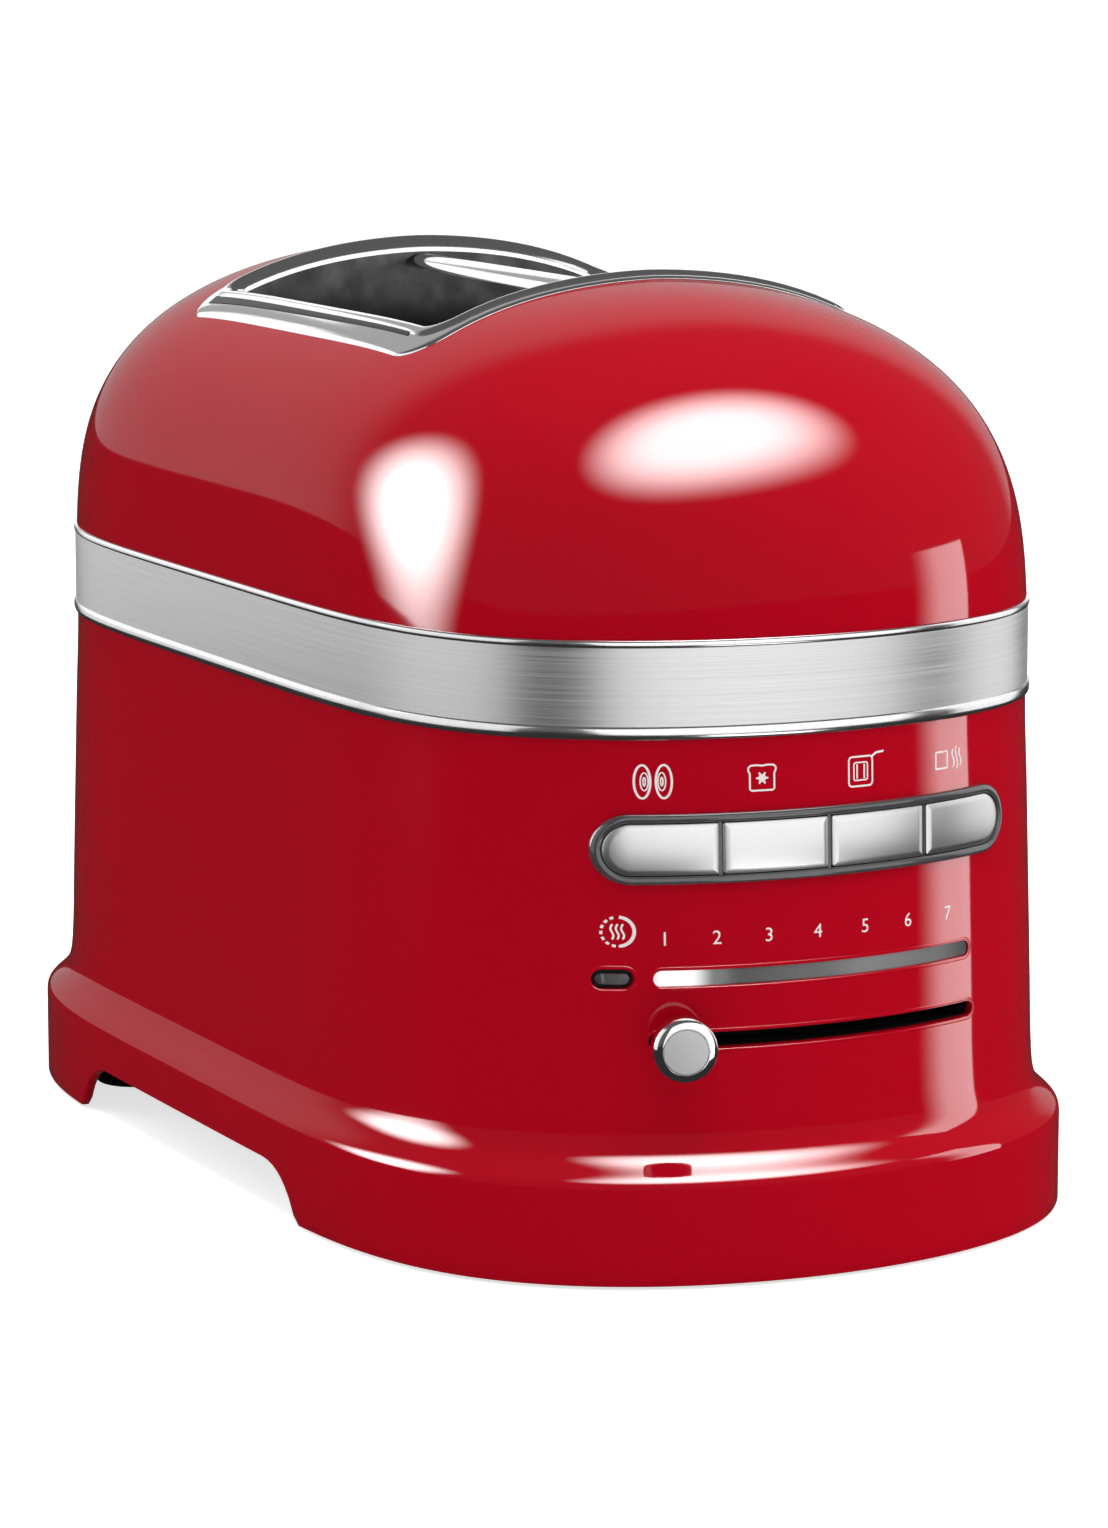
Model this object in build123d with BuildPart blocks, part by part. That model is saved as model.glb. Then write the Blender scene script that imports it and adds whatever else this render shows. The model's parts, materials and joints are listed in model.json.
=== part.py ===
from build123d import *
from math import atan2, cos, hypot, pi, radians, sin
import os

# Pop up toaster, long and two-slotted. Millimetres, +Z up, the controls face -Y,
# +X is to the right of somebody facing the controls, and the origin is on the
# surface that the toaster stands on, under the middle of its base.

os.makedirs("parts", exist_ok=True)

# ---------------------------------------------------------------- driving sizes

# Plan of the body at the trim band: |x/half_width|^2 + |y/half_length|^squareness = 1
HALF_WIDTH = 89.0
HALF_LENGTH = 160.75
SQUARENESS = 5.05
OUTLINE_POINTS = 48

SKIN = 2.6            # wall of both shells
SKIRT_OUT = 9.93      # how far the skirt stands outside the plan above
SKIRT_BOTTOM = 0.8
BAND_BOTTOM = 129.1
BAND_TOP = 152.6

# Outward offset of the lower shell at each height, from the skirt up to the band
WALL_PROFILE = [
    (SKIRT_BOTTOM, SKIRT_OUT), (12.0, SKIRT_OUT), (23.6, SKIRT_OUT), (25.0, 9.75), (26.1, 9.15), (27.3, 7.95),
    (28.6, 6.5), (30.0, 5.15), (31.6, 4.1), (33.6, 3.4), (36.5, 2.95), (41.0, 2.65), (46.0, 2.45),
    (56.0, 2.2), (80.0, 1.5), (105.0, 0.75), (BAND_BOTTOM, 0.0),
]

# Dome above the band: both plan sizes shrink with height, and the plan gets rounder
DOME_RISE = 76.8
DOME_WIDTH_POWERS = (3.058, 2.169)
DOME_LENGTH_POWERS = (2.16, 3.323)
CREST_HALF_LENGTH = 47.0
DOME_ROUNDING = 0.978
DOME_STEPS = 20
DOME_CROWDING = 1.9   # how strongly the steps crowd together towards the crest
DOME_TOP_LEVEL = 0.9985

# Slot frame and the two bread slots
FRAME_HALF_WIDTH = 66.0
FRAME_HALF_LENGTH = 72.0
FRAME_CORNER = 11.0
FRAME_PROUD = 2.0
SLOT_INNER_X = 5.0
SLOT_OUTER_X = 56.0
SLOT_HALF_LENGTH = 65.0
SLOT_CORNER = 6.0
THROAT_BOTTOM = 204.0
DIVIDER_TOP = 226.5
SLOT_CENTRE_X = (SLOT_INNER_X + SLOT_OUTER_X) / 2

# Side hand gaps
GAP_HALF_LENGTH = 70.0
GAP_TOP = 14.0

# Front controls
BUTTON_Z = 103.5
BUTTON_PITCH = 27.3
BUTTON_ROW_HALF = 54.0
BUTTON_HEIGHT = 12.2
BEZEL_HALF = 55.7
BEZEL_HEIGHT = 16.6
BUTTON_GAP = 0.4
WINDOW_Z = 72.9
WINDOW_HALF = 42.7
WINDOW_HEIGHT = 3.9
LAMP_X = -51.1
LAMP_SIZE = (9.1, 4.7)
SLIDER_Z = 58.0
SLIDER_AXIS_Y = -42.75
SLIDER_HALF_ANGLE = 21.4
SLIDER_SLOT_HEIGHT = 3.9
KNOB_REST_ANGLE = -18.1
KNOB_DIAMETER = 15.5
KNOB_FRONT_RADIUS = 132.3
KNOB_THICKNESS = 6.2
COLLAR_DIAMETER = 10.4

# Base and chassis
PLATE_BOTTOM = 15.5
PLATE_THICK = 2.0
PLATE_TOP = PLATE_BOTTOM + PLATE_THICK
FOOT_X = 72.0
FOOT_Y = 98.0
FOOT_RADIUS = 11.0
CHASSIS_Y = 69.0
CHASSIS_HALF = 74.0
CHASSIS_TOP = 196.0
CHASSIS_NECK_HALF = 57.0
CHASSIS_NECK_TOP = 211.0
SHEET = 1.0

# Bread lift
LIFT_TRAVEL = 62.0
RACK_TOP = 135.0
RACK_HALF_WIDTH = 10.5
RACK_PITCH = 17.0
GUIDE_ROD_X = 28.0
GUIDE_ROD_Y = 88.0
GUIDE_ROD_RADIUS = 2.0
RUNNING_GAP = 0.3
MODULE = 1.0
PINION_TEETH = 16
PINION_Z = 110.0
GEAR_GAP = 0.2        # added to the centre distance
PINION_X = 5.0 + MODULE * PINION_TEETH / 2 + GEAR_GAP
GEAR_Y = (84.5, 90.5)

# Wire guards
GUARD_HINGE_Z = 58.0
GUARD_TOP = 205.0
GUARD_WIRE = 0.9      # radius
GUARD_X = (10.0, 51.5)
GUARD_HALF_LENGTH = 61.0

# Rear bay shelf and crumb tray
SHELF_Z = 33.0
SHELF_THICK = 1.2
SHELF_TOP = SHELF_Z + SHELF_THICK
TRAY_BOTTOM = 18.6
TRAY_TOP = 27.0
TRAY_HALF = 55.0

# Control board
BOARD_Y = -128.0
BOARD_THICK = 1.6
BRACKET_Y = -119.0

# ---------------------------------------------------------------- shared shapes


def plan_radius(angle, half_width, half_length, squareness):
    """Distance from the centre to the plan curve along a direction, by halving."""
    low, high = 0.0, half_width + half_length
    for _ in range(60):
        middle = (low + high) / 2
        across = abs(middle * cos(angle) / half_width) ** 2
        along = abs(middle * sin(angle) / half_length) ** squareness
        if across + along < 1:
            low = middle
        else:
            high = middle
    return low


def outline(outset=0.0, half_width=HALF_WIDTH, half_length=HALF_LENGTH, squareness=SQUARENESS):
    """Points of the plan curve, moved outwards along its normal by outset."""
    points = []
    for i in range(OUTLINE_POINTS):
        turn = 2 * pi * (i + 0.5) / OUTLINE_POINTS
        angle = atan2(half_length * sin(turn), half_width * cos(turn))
        reach = plan_radius(angle, half_width, half_length, squareness)
        x, y = reach * cos(angle), reach * sin(angle)
        slope_x = 2 * x / half_width**2
        slope_y = squareness * abs(y / half_length) ** (squareness - 1) / half_length * (1 if y > 0 else -1)
        size = hypot(slope_x, slope_y)
        points.append((x + outset * slope_x / size, y + outset * slope_y / size))
    return points


def plan_section(height, points):
    """One closed section of a shell."""
    with BuildSketch(Plane.XY.offset(height)) as section:
        with BuildLine():
            Spline(*points, periodic=True)
        make_face()
    return section.sketch


def wall_sections(outset):
    """Sections of the lower shell's outer face, moved outwards by outset."""
    return [plan_section(z, outline(reach + outset)) for z, reach in WALL_PROFILE]


def dome_outline(level, outset):
    """Plan points of the dome at a level from 0 at the band to 1 at the crest."""
    wide, long = HALF_WIDTH + outset, HALF_LENGTH + outset
    out_power, in_power = DOME_WIDTH_POWERS
    half_width = wide * (1 - level**out_power) ** (1 / in_power)
    out_power, in_power = DOME_LENGTH_POWERS
    half_length = CREST_HALF_LENGTH + (long - CREST_HALF_LENGTH) * (1 - level**out_power) ** (1 / in_power)
    return outline(0.0, half_width, half_length, SQUARENESS - DOME_ROUNDING * level)


def dome_sections(outset, start=BAND_TOP):
    """Sections of the dome, or of the same dome grown or shrunk by outset."""
    sections = [plan_section(start, dome_outline(0, outset))]
    for i in range(1, DOME_STEPS + 1):
        level = DOME_TOP_LEVEL * (1 - (1 - i / DOME_STEPS) ** DOME_CROWDING)
        sections.append(plan_section(BAND_TOP + level * (DOME_RISE + outset), dome_outline(level, outset)))
    return sections


def ring_section(height, outer, inner):
    """A closed band round the body between two offsets of the plan."""
    with BuildSketch(Plane.XY.offset(height)) as ring:
        with BuildLine():
            Spline(*outline(outer), periodic=True)
        make_face()
        with BuildLine():
            Spline(*outline(inner), periodic=True)
        make_face(mode=Mode.SUBTRACT)
    return ring.sketch


def front_plane(distance):
    """A plane facing the front, distance in front of the centre: x to the right, y up."""
    return Plane(origin=(0, -distance, 0), x_dir=(1, 0, 0), z_dir=(0, -1, 0))


def slider_plane(angle, radius):
    """A plane facing out of the slider's arc at an angle from straight ahead."""
    turn = radians(angle)
    origin = (radius * sin(turn), SLIDER_AXIS_Y - radius * cos(turn), SLIDER_Z)
    return Plane(origin=origin, x_dir=(cos(turn), sin(turn), 0), z_dir=(sin(turn), -cos(turn), 0))


def slider_sector(height, outer, inner, half_angle):
    """A flat piece of ring about the slider's axis, between two angles each side of the front."""
    reach = 2 * outer
    edge_x, edge_y = reach * sin(radians(half_angle)), reach * cos(radians(half_angle))
    with BuildSketch(Plane.XY.offset(height)) as sector:
        with Locations((0, SLIDER_AXIS_Y)):
            Circle(outer)
            Circle(inner, mode=Mode.SUBTRACT)
        with BuildLine():
            Polyline(
                (0, SLIDER_AXIS_Y), (-edge_x, SLIDER_AXIS_Y - edge_y), (edge_x, SLIDER_AXIS_Y - edge_y),
                (0, SLIDER_AXIS_Y),
            )
        make_face(mode=Mode.INTERSECT)
    return sector.sketch


def write(part, name):
    """Label a finished piece and write its STEP file."""
    part.label = name
    export_step(part, f"parts/{name}.step")


# ---------------------------------------------------------------- lower shell

BOSS_X, BOSS_Y, BOSS_RADIUS, BOSS_TOP = 77.5, 113.0, 5.0, 58.0

with BuildPart() as lower_shell:
    loft(wall_sections(0), ruled=True)
    loft(wall_sections(-SKIN), ruled=True, mode=Mode.SUBTRACT)
    # hand gap under each long side, its ends eased down to the table
    with BuildSketch(Plane.YZ) as gap:
        with Locations((0, 0)):
            Rectangle(2 * GAP_HALF_LENGTH, 2 * GAP_TOP)
        fillet(gap.vertices(), GAP_TOP * 0.8)
    extrude(amount=HALF_WIDTH * 2, both=True, mode=Mode.SUBTRACT)
    # holes for the button bezel, the lamp and the light window
    with BuildSketch(front_plane(100)):
        with Locations((0, BUTTON_Z)):
            SlotOverall(2 * BEZEL_HALF + 0.3, BEZEL_HEIGHT + 0.3)
        with Locations((LAMP_X, WINDOW_Z)):
            SlotOverall(LAMP_SIZE[0] + 0.3, LAMP_SIZE[1] + 0.3)
        with Locations((0, WINDOW_Z)):
            Rectangle(2 * WINDOW_HALF + 0.3, WINDOW_HEIGHT + 0.3)
    extrude(amount=100, mode=Mode.SUBTRACT)
    # slot for the slider
    slot = slider_sector(SLIDER_Z - SLIDER_SLOT_HEIGHT / 2, 150, 100, SLIDER_HALF_ANGLE)
    extrude(slot, amount=SLIDER_SLOT_HEIGHT, mode=Mode.SUBTRACT)
    # rear holes for the crumb tray's front and the cord gland
    with BuildSketch(Plane.XZ.offset(-100)):
        with Locations((0, (TRAY_BOTTOM + TRAY_TOP) / 2)):
            Rectangle(2 * TRAY_HALF + 2, TRAY_TOP - TRAY_BOTTOM + 1.0)
        with Locations((0, 62)):
            Circle(6.2)
    extrude(amount=-100, mode=Mode.SUBTRACT)

# Screw bosses stand on the base plate and run into the wall
with BuildPart() as shell_bosses:
    with BuildSketch(Plane.XY.offset(PLATE_TOP)):
        with GridLocations(2 * BOSS_X, 2 * BOSS_Y, 2, 2):
            Circle(BOSS_RADIUS)
            Circle(1.4, mode=Mode.SUBTRACT)
    extrude(amount=BOSS_TOP - PLATE_TOP)

with BuildPart() as shell_core:
    loft(wall_sections(-SKIN / 2), ruled=True)

with BuildPart() as lower_shell_cast:
    add(shell_bosses.part)
    add(shell_core.part, mode=Mode.INTERSECT)
    add(lower_shell.part)

write(lower_shell_cast.part, "lower_shell")

# ---------------------------------------------------------------- trim band

TONGUE_OUT, TONGUE_IN = -3.9, -5.5

with BuildPart() as trim_band:
    extrude(ring_section(BAND_BOTTOM, 0.35, TONGUE_IN), amount=BAND_TOP - BAND_BOTTOM)
    extrude(ring_section(BAND_BOTTOM, 1.1, -1.0), amount=3.6)
    extrude(ring_section(BAND_TOP - 2.4, 0.9, -1.0), amount=2.4)
    # tongue that lines up both shells
    extrude(ring_section(BAND_BOTTOM - 6, TONGUE_OUT, TONGUE_IN), amount=BAND_TOP - BAND_BOTTOM + 11)

write(trim_band.part, "trim_band")

# ---------------------------------------------------------------- upper shell

with BuildPart() as upper_shell:
    loft(dome_sections(0), ruled=True)
    loft(dome_sections(-SKIN, start=BAND_TOP - 1), ruled=True, mode=Mode.SUBTRACT)
    with BuildSketch(Plane.XY.offset(BAND_TOP)):
        RectangleRounded(2 * SLOT_OUTER_X + 5, 2 * SLOT_HALF_LENGTH + 5, SLOT_CORNER + 2)
    extrude(amount=100, mode=Mode.SUBTRACT)

write(upper_shell.part, "upper_shell")

# ---------------------------------------------------------------- slot frame

with BuildPart() as frame_dome:
    loft(dome_sections(FRAME_PROUD), ruled=True)

with BuildPart() as body_dome:
    loft(dome_sections(0, start=BAND_TOP - 1), ruled=True)

SLOT_WIDTH = SLOT_OUTER_X - SLOT_INNER_X

with BuildPart() as slot_frame:
    # flange that lies on the dome
    with BuildSketch(Plane.XY.offset(BAND_TOP + 30)):
        RectangleRounded(2 * FRAME_HALF_WIDTH, 2 * FRAME_HALF_LENGTH, FRAME_CORNER)
        RectangleRounded(2 * SLOT_OUTER_X, 2 * SLOT_HALF_LENGTH, SLOT_CORNER, mode=Mode.SUBTRACT)
    extrude(amount=100)
    add(body_dome.part, mode=Mode.SUBTRACT)
    # throats down into the chassis, with the centre bar between them
    with BuildSketch(Plane.XY.offset(THROAT_BOTTOM)):
        RectangleRounded(2 * SLOT_OUTER_X + 2, 2 * SLOT_HALF_LENGTH + 2, SLOT_CORNER + 1)
        with Locations((-SLOT_CENTRE_X, 0), (SLOT_CENTRE_X, 0)):
            RectangleRounded(SLOT_WIDTH, 2 * SLOT_HALF_LENGTH, SLOT_CORNER, mode=Mode.SUBTRACT)
    extrude(amount=60)
    add(frame_dome.part, mode=Mode.INTERSECT)
    with BuildSketch(Plane.XY.offset(THROAT_BOTTOM - 1)):
        Rectangle(2 * SLOT_INNER_X - 2, 2 * SLOT_HALF_LENGTH - 1)
    extrude(amount=DIVIDER_TOP - 1.2 - THROAT_BOTTOM + 1, mode=Mode.SUBTRACT)
    with BuildSketch(Plane.XY.offset(DIVIDER_TOP)):
        Rectangle(2 * SLOT_INNER_X + 2 * SLOT_CORNER, 2 * SLOT_HALF_LENGTH - 3)
    extrude(amount=20, mode=Mode.SUBTRACT)

write(slot_frame.part, "slot_frame")

# ---------------------------------------------------------------- front controls

# Offsets of the lower wall's outer face at the heights of the controls
WALL_AT_BUTTONS = 0.8
WALL_AT_WINDOW = 1.7


def front_strip(height, depth, outer, inner):
    """A strip of the front wall between two offsets, to be trimmed to an outline."""
    with BuildPart() as strip:
        extrude(ring_section(height - depth, outer, inner), amount=2 * depth)
        with BuildSketch(Plane.XY.offset(height - depth)):
            with Locations((0, -HALF_LENGTH)):
                Rectangle(2 * HALF_WIDTH, 160)
        extrude(amount=2 * depth, mode=Mode.INTERSECT)
    return strip.part


bezel_strip = front_strip(BUTTON_Z, 10, WALL_AT_BUTTONS + 1.3, WALL_AT_BUTTONS - 3.2)
with BuildPart() as button_bezel:
    add(bezel_strip)
    with BuildSketch(front_plane(100)) as bezel_face:
        with Locations((0, BUTTON_Z)):
            SlotOverall(2 * BEZEL_HALF, BEZEL_HEIGHT)
            SlotOverall(2 * BUTTON_ROW_HALF - 0.4, BUTTON_HEIGHT + 2 * BUTTON_GAP, mode=Mode.SUBTRACT)
        with Locations((0, BUTTON_Z), (-BUTTON_PITCH, BUTTON_Z), (BUTTON_PITCH, BUTTON_Z)):
            Rectangle(0.8, BUTTON_HEIGHT + 2)
    extrude(amount=100, mode=Mode.INTERSECT)

write(button_bezel.part, "button_bezel")

BUTTON_NAMES = ["button_bagel", "button_frozen", "button_sandwich", "button_reheat"]
SWITCH_HEIGHT = 4.0
BUTTON_TRAVEL = 2.0
STEM_END = -BOARD_Y + SWITCH_HEIGHT + BUTTON_TRAVEL + RUNNING_GAP

button_strip = front_strip(BUTTON_Z, 10, WALL_AT_BUTTONS + 1.2, WALL_AT_BUTTONS - 6.0)
for i, name in enumerate(BUTTON_NAMES):
    centre = (i - 1.5) * BUTTON_PITCH
    with BuildPart() as button:
        add(button_strip)
        with BuildSketch(front_plane(100)):
            with Locations((0, BUTTON_Z)):
                SlotOverall(2 * BUTTON_ROW_HALF - 1.2, BUTTON_HEIGHT)
            with Locations((centre, BUTTON_Z)):
                Rectangle(BUTTON_PITCH - 0.8 - 2 * BUTTON_GAP, BUTTON_HEIGHT, mode=Mode.INTERSECT)
        extrude(amount=100, mode=Mode.INTERSECT)
        # stem that reaches back to the switch on the board
        wall_y = HALF_LENGTH * (1 - (centre / HALF_WIDTH) ** 2) ** (1 / SQUARENESS)
        with BuildSketch(front_plane(STEM_END)):
            with Locations((centre, BUTTON_Z)):
                Rectangle(5, 4)
        extrude(amount=wall_y - 3 - STEM_END)
    write(button.part, name)

window_strip = front_strip(WINDOW_Z, 4, WALL_AT_WINDOW + 0.1, WALL_AT_WINDOW - 3.4)
with BuildPart() as countdown_window:
    add(window_strip)
    with BuildSketch(front_plane(100)):
        with Locations((0, WINDOW_Z)):
            Rectangle(2 * WINDOW_HALF, WINDOW_HEIGHT)
    extrude(amount=100, mode=Mode.INTERSECT)

write(countdown_window.part, "countdown_window")

with BuildPart() as keep_warm_lamp:
    add(window_strip)
    with BuildSketch(front_plane(100)):
        with Locations((LAMP_X, WINDOW_Z)):
            SlotOverall(*LAMP_SIZE)
    extrude(amount=100, mode=Mode.INTERSECT)

write(keep_warm_lamp.part, "keep_warm_lamp")

with BuildPart() as slider_track:
    extrude(slider_sector(SLIDER_Z - 6, 116.9, 112.5, SLIDER_HALF_ANGLE + 2.5), amount=12)
    slot = slider_sector(SLIDER_Z - SLIDER_SLOT_HEIGHT / 2, 150, 100, SLIDER_HALF_ANGLE)
    extrude(slot, amount=SLIDER_SLOT_HEIGHT, mode=Mode.SUBTRACT)

write(slider_track.part, "slider_track")

KNOB_BACK_RADIUS = KNOB_FRONT_RADIUS - KNOB_THICKNESS
COLLAR_BACK_RADIUS = 121.0
TANG_BACK_RADIUS = 108.0

with BuildPart() as shade_knob:
    with BuildSketch(slider_plane(KNOB_REST_ANGLE, KNOB_BACK_RADIUS)):
        Circle(KNOB_DIAMETER / 2)
    extrude(amount=KNOB_THICKNESS)
    front_edge = shade_knob.edges().filter_by(GeomType.CIRCLE).sort_by(Axis.Y)[0]
    chamfer(front_edge, 0.8)

write(shade_knob.part, "shade_knob")

with BuildPart() as knob_stem:
    with BuildSketch(slider_plane(KNOB_REST_ANGLE, COLLAR_BACK_RADIUS)):
        Circle(COLLAR_DIAMETER / 2)
    extrude(amount=KNOB_BACK_RADIUS - COLLAR_BACK_RADIUS)
    with BuildSketch(slider_plane(KNOB_REST_ANGLE, TANG_BACK_RADIUS)):
        Rectangle(8.0, SLIDER_SLOT_HEIGHT - 2 * RUNNING_GAP)
    extrude(amount=COLLAR_BACK_RADIUS - TANG_BACK_RADIUS)

write(knob_stem.part, "knob_stem")

# Curved resistor track that the tang runs in, carried on an arm from the bracket
with BuildPart() as shade_resistor:
    extrude(slider_sector(SLIDER_Z - 5, 111.6, 103.5, SLIDER_HALF_ANGLE + 1), amount=10)
    groove = slider_sector(SLIDER_Z - SLIDER_SLOT_HEIGHT / 2, 115, 106.5, SLIDER_HALF_ANGLE)
    extrude(groove, amount=SLIDER_SLOT_HEIGHT, mode=Mode.SUBTRACT)

write(shade_resistor.part, "shade_resistor")

# ---------------------------------------------------------------- control board

BOARD_LOW, BOARD_HIGH, BOARD_HALF = 62.0, 120.0, 57.0

with BuildPart() as control_board:
    with BuildSketch(front_plane(-BOARD_Y - BOARD_THICK)):
        with Locations((0, (BOARD_LOW + BOARD_HIGH) / 2)):
            RectangleRounded(2 * BOARD_HALF, BOARD_HIGH - BOARD_LOW, 2)
        with Locations((0, (BOARD_LOW + BOARD_HIGH) / 2)):
            with GridLocations(2 * BOARD_HALF - 8, BOARD_HIGH - BOARD_LOW - 8, 2, 2):
                Circle(1.6, mode=Mode.SUBTRACT)
    extrude(amount=BOARD_THICK)

write(control_board.part, "control_board")

with BuildPart() as button_switches:
    with BuildSketch(front_plane(-BOARD_Y)):
        with Locations((0, BUTTON_Z)):
            with GridLocations(BUTTON_PITCH, 1, 4, 1):
                RectangleRounded(7, 7, 1)
    extrude(amount=2.6)
    with BuildSketch(front_plane(-BOARD_Y + 2.6)):
        with Locations((0, BUTTON_Z)):
            with GridLocations(BUTTON_PITCH, 1, 4, 1):
                Circle(1.75)
    extrude(amount=1.4)

write(button_switches.part, "button_switches")

guide_strip = front_strip(WINDOW_Z, 4, WALL_AT_WINDOW - 3.4, -40)
with BuildPart() as light_guide:
    add(guide_strip)
    with BuildSketch(front_plane(-BOARD_Y + 3.0)):
        with Locations((0, WINDOW_Z)):
            Rectangle(2 * WINDOW_HALF - 2, 3.4)
    extrude(amount=60, mode=Mode.INTERSECT)

write(light_guide.part, "light_guide")

LED_COUNT = 7
with BuildPart() as indicator_leds:
    with BuildSketch(front_plane(-BOARD_Y)):
        with Locations((0, WINDOW_Z)):
            with GridLocations(2 * WINDOW_HALF / LED_COUNT, 1, LED_COUNT, 1):
                Rectangle(3.2, 2.6)
        with Locations((LAMP_X, WINDOW_Z)):
            Rectangle(3.2, 2.6)
    extrude(amount=2.2)

write(indicator_leds.part, "indicator_leds")

with BuildPart() as control_bracket:
    with BuildSketch(front_plane(-BRACKET_Y)):
        with Locations((0, (PLATE_TOP + BOARD_HIGH) / 2)):
            Rectangle(2 * BOARD_HALF, BOARD_HIGH - PLATE_TOP)
        with Locations((0, 76)):
            Rectangle(2 * BOARD_HALF - 24, 56, mode=Mode.SUBTRACT)
    extrude(amount=SHEET)
    with BuildSketch(Plane.XY.offset(PLATE_TOP)):
        with Locations((0, BRACKET_Y + 5)):
            Rectangle(2 * BOARD_HALF, 12)
    extrude(amount=SHEET)

write(control_bracket.part, "control_bracket")

with BuildPart() as board_standoffs:
    with BuildSketch(front_plane(-BRACKET_Y + SHEET)):
        with Locations((0, (BOARD_LOW + BOARD_HIGH) / 2)):
            with GridLocations(2 * BOARD_HALF - 8, BOARD_HIGH - BOARD_LOW - 8, 2, 2):
                RegularPolygon(3.2, 6)
    extrude(amount=-BOARD_Y - BOARD_THICK + BRACKET_Y - SHEET)

write(board_standoffs.part, "board_standoffs")

with BuildPart() as board_screws:
    with BuildSketch(front_plane(-BOARD_Y)):
        with Locations((0, (BOARD_LOW + BOARD_HIGH) / 2)):
            with GridLocations(2 * BOARD_HALF - 8, BOARD_HIGH - BOARD_LOW - 8, 2, 2):
                Circle(2.8)
    extrude(amount=1.8)
    with BuildSketch(front_plane(-BOARD_Y - BOARD_THICK)):
        with Locations((0, (BOARD_LOW + BOARD_HIGH) / 2)):
            with GridLocations(2 * BOARD_HALF - 8, BOARD_HIGH - BOARD_LOW - 8, 2, 2):
                Circle(1.5)
    extrude(amount=BOARD_THICK)

write(board_screws.part, "board_screws")

# ---------------------------------------------------------------- base

with BuildPart() as base_plate:
    with BuildSketch(Plane.XY.offset(PLATE_BOTTOM)):
        with BuildLine():
            Spline(*outline(SKIRT_OUT - SKIN - 0.4), periodic=True)
        make_face()
        with GridLocations(2 * BOSS_X, 2 * BOSS_Y, 2, 2):
            Circle(1.8, mode=Mode.SUBTRACT)
        with GridLocations(12, 100, 6, 2):
            SlotOverall(30, 3, rotation=90, mode=Mode.SUBTRACT)
    extrude(amount=PLATE_THICK)

write(base_plate.part, "base_plate")

with BuildPart() as base_screws:
    with BuildSketch(Plane.XY.offset(PLATE_BOTTOM - 2)):
        with GridLocations(2 * BOSS_X, 2 * BOSS_Y, 2, 2):
            Circle(3.2)
    extrude(amount=2)
    with BuildSketch(Plane.XY.offset(PLATE_BOTTOM)):
        with GridLocations(2 * BOSS_X, 2 * BOSS_Y, 2, 2):
            Circle(1.35)
    extrude(amount=14)

write(base_screws.part, "base_screws")

for x_side, x_sign in (("left", -1), ("right", 1)):
    for y_side, y_sign in (("front", -1), ("rear", 1)):
        with BuildPart() as foot:
            with BuildSketch():
                with Locations((x_sign * FOOT_X, y_sign * FOOT_Y)):
                    Circle(FOOT_RADIUS)
            extrude(amount=PLATE_BOTTOM, taper=4)
            fillet(foot.edges().group_by(Axis.Z)[0], 1.2)
        write(foot.part, f"foot_{y_side}_{x_side}")

GLAND_BORE = 3.6
with BuildPart() as cord_gland:
    with BuildSketch(Plane.XZ.offset(-158.0)):
        with Locations((0, 62)):
            Circle(6.0)
            Circle(GLAND_BORE, mode=Mode.SUBTRACT)
    extrude(amount=-5.4)
    with BuildSketch(Plane.XZ.offset(-163.4)):
        with Locations((0, 62)):
            RectangleRounded(20, 20, 4)
            Circle(GLAND_BORE, mode=Mode.SUBTRACT)
    extrude(amount=-2.6)

write(cord_gland.part, "cord_gland")

# ---------------------------------------------------------------- chassis

RACK_SLOT_WIDTH = 5.0

for name, sign in (("chassis_front", -1), ("chassis_rear", 1)):
    start = sign * CHASSIS_Y - (0 if sign > 0 else SHEET)
    with BuildPart() as chassis:
        with BuildSketch(Plane.XZ.offset(-start)):
            with Locations((0, (PLATE_TOP + CHASSIS_TOP) / 2)):
                Rectangle(2 * CHASSIS_HALF, CHASSIS_TOP - PLATE_TOP)
            with Locations((0, (PLATE_TOP + CHASSIS_NECK_TOP) / 2)):
                Rectangle(2 * CHASSIS_NECK_HALF, CHASSIS_NECK_TOP - PLATE_TOP)
            # holes for the guard pivots
            for side in (-1, 1):
                for x in GUARD_X:
                    with Locations((side * x, GUARD_HINGE_Z)):
                        Circle(GUARD_WIRE + 0.1, mode=Mode.SUBTRACT)
            if sign > 0:
                # the bread racks' bars run up and down in these, and the tray leaves below
                for side in (-1, 1):
                    low, high = RACK_TOP - LIFT_TRAVEL - 10, RACK_TOP + 3
                    with Locations((side * SLOT_CENTRE_X, (low + high) / 2)):
                        SlotOverall(high - low, RACK_SLOT_WIDTH, rotation=90, mode=Mode.SUBTRACT)
                with Locations((0, (PLATE_TOP + TRAY_TOP) / 2)):
                    Rectangle(2 * TRAY_HALF + 2, TRAY_TOP - PLATE_TOP + 1.5, mode=Mode.SUBTRACT)
        extrude(amount=-SHEET)
    write(chassis.part, name)

LINER_BOTTOM = 30.0
for name, sign in (("heat_liner_left", -1), ("heat_liner_right", 1)):
    with BuildPart() as liner:
        with BuildSketch(Plane.XY.offset(LINER_BOTTOM)):
            with Locations((sign * (CHASSIS_HALF - 1.5), 0)):
                Rectangle(0.8, 2 * CHASSIS_Y)
        extrude(amount=CHASSIS_TOP - 2 - LINER_BOTTOM)
        # folded foot and head
        with BuildSketch(Plane.XY.offset(LINER_BOTTOM)):
            with Locations((sign * (CHASSIS_HALF - 5.5), 0)):
                Rectangle(8.8, 2 * CHASSIS_Y)
        extrude(amount=0.8)
    write(liner.part, name)

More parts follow.
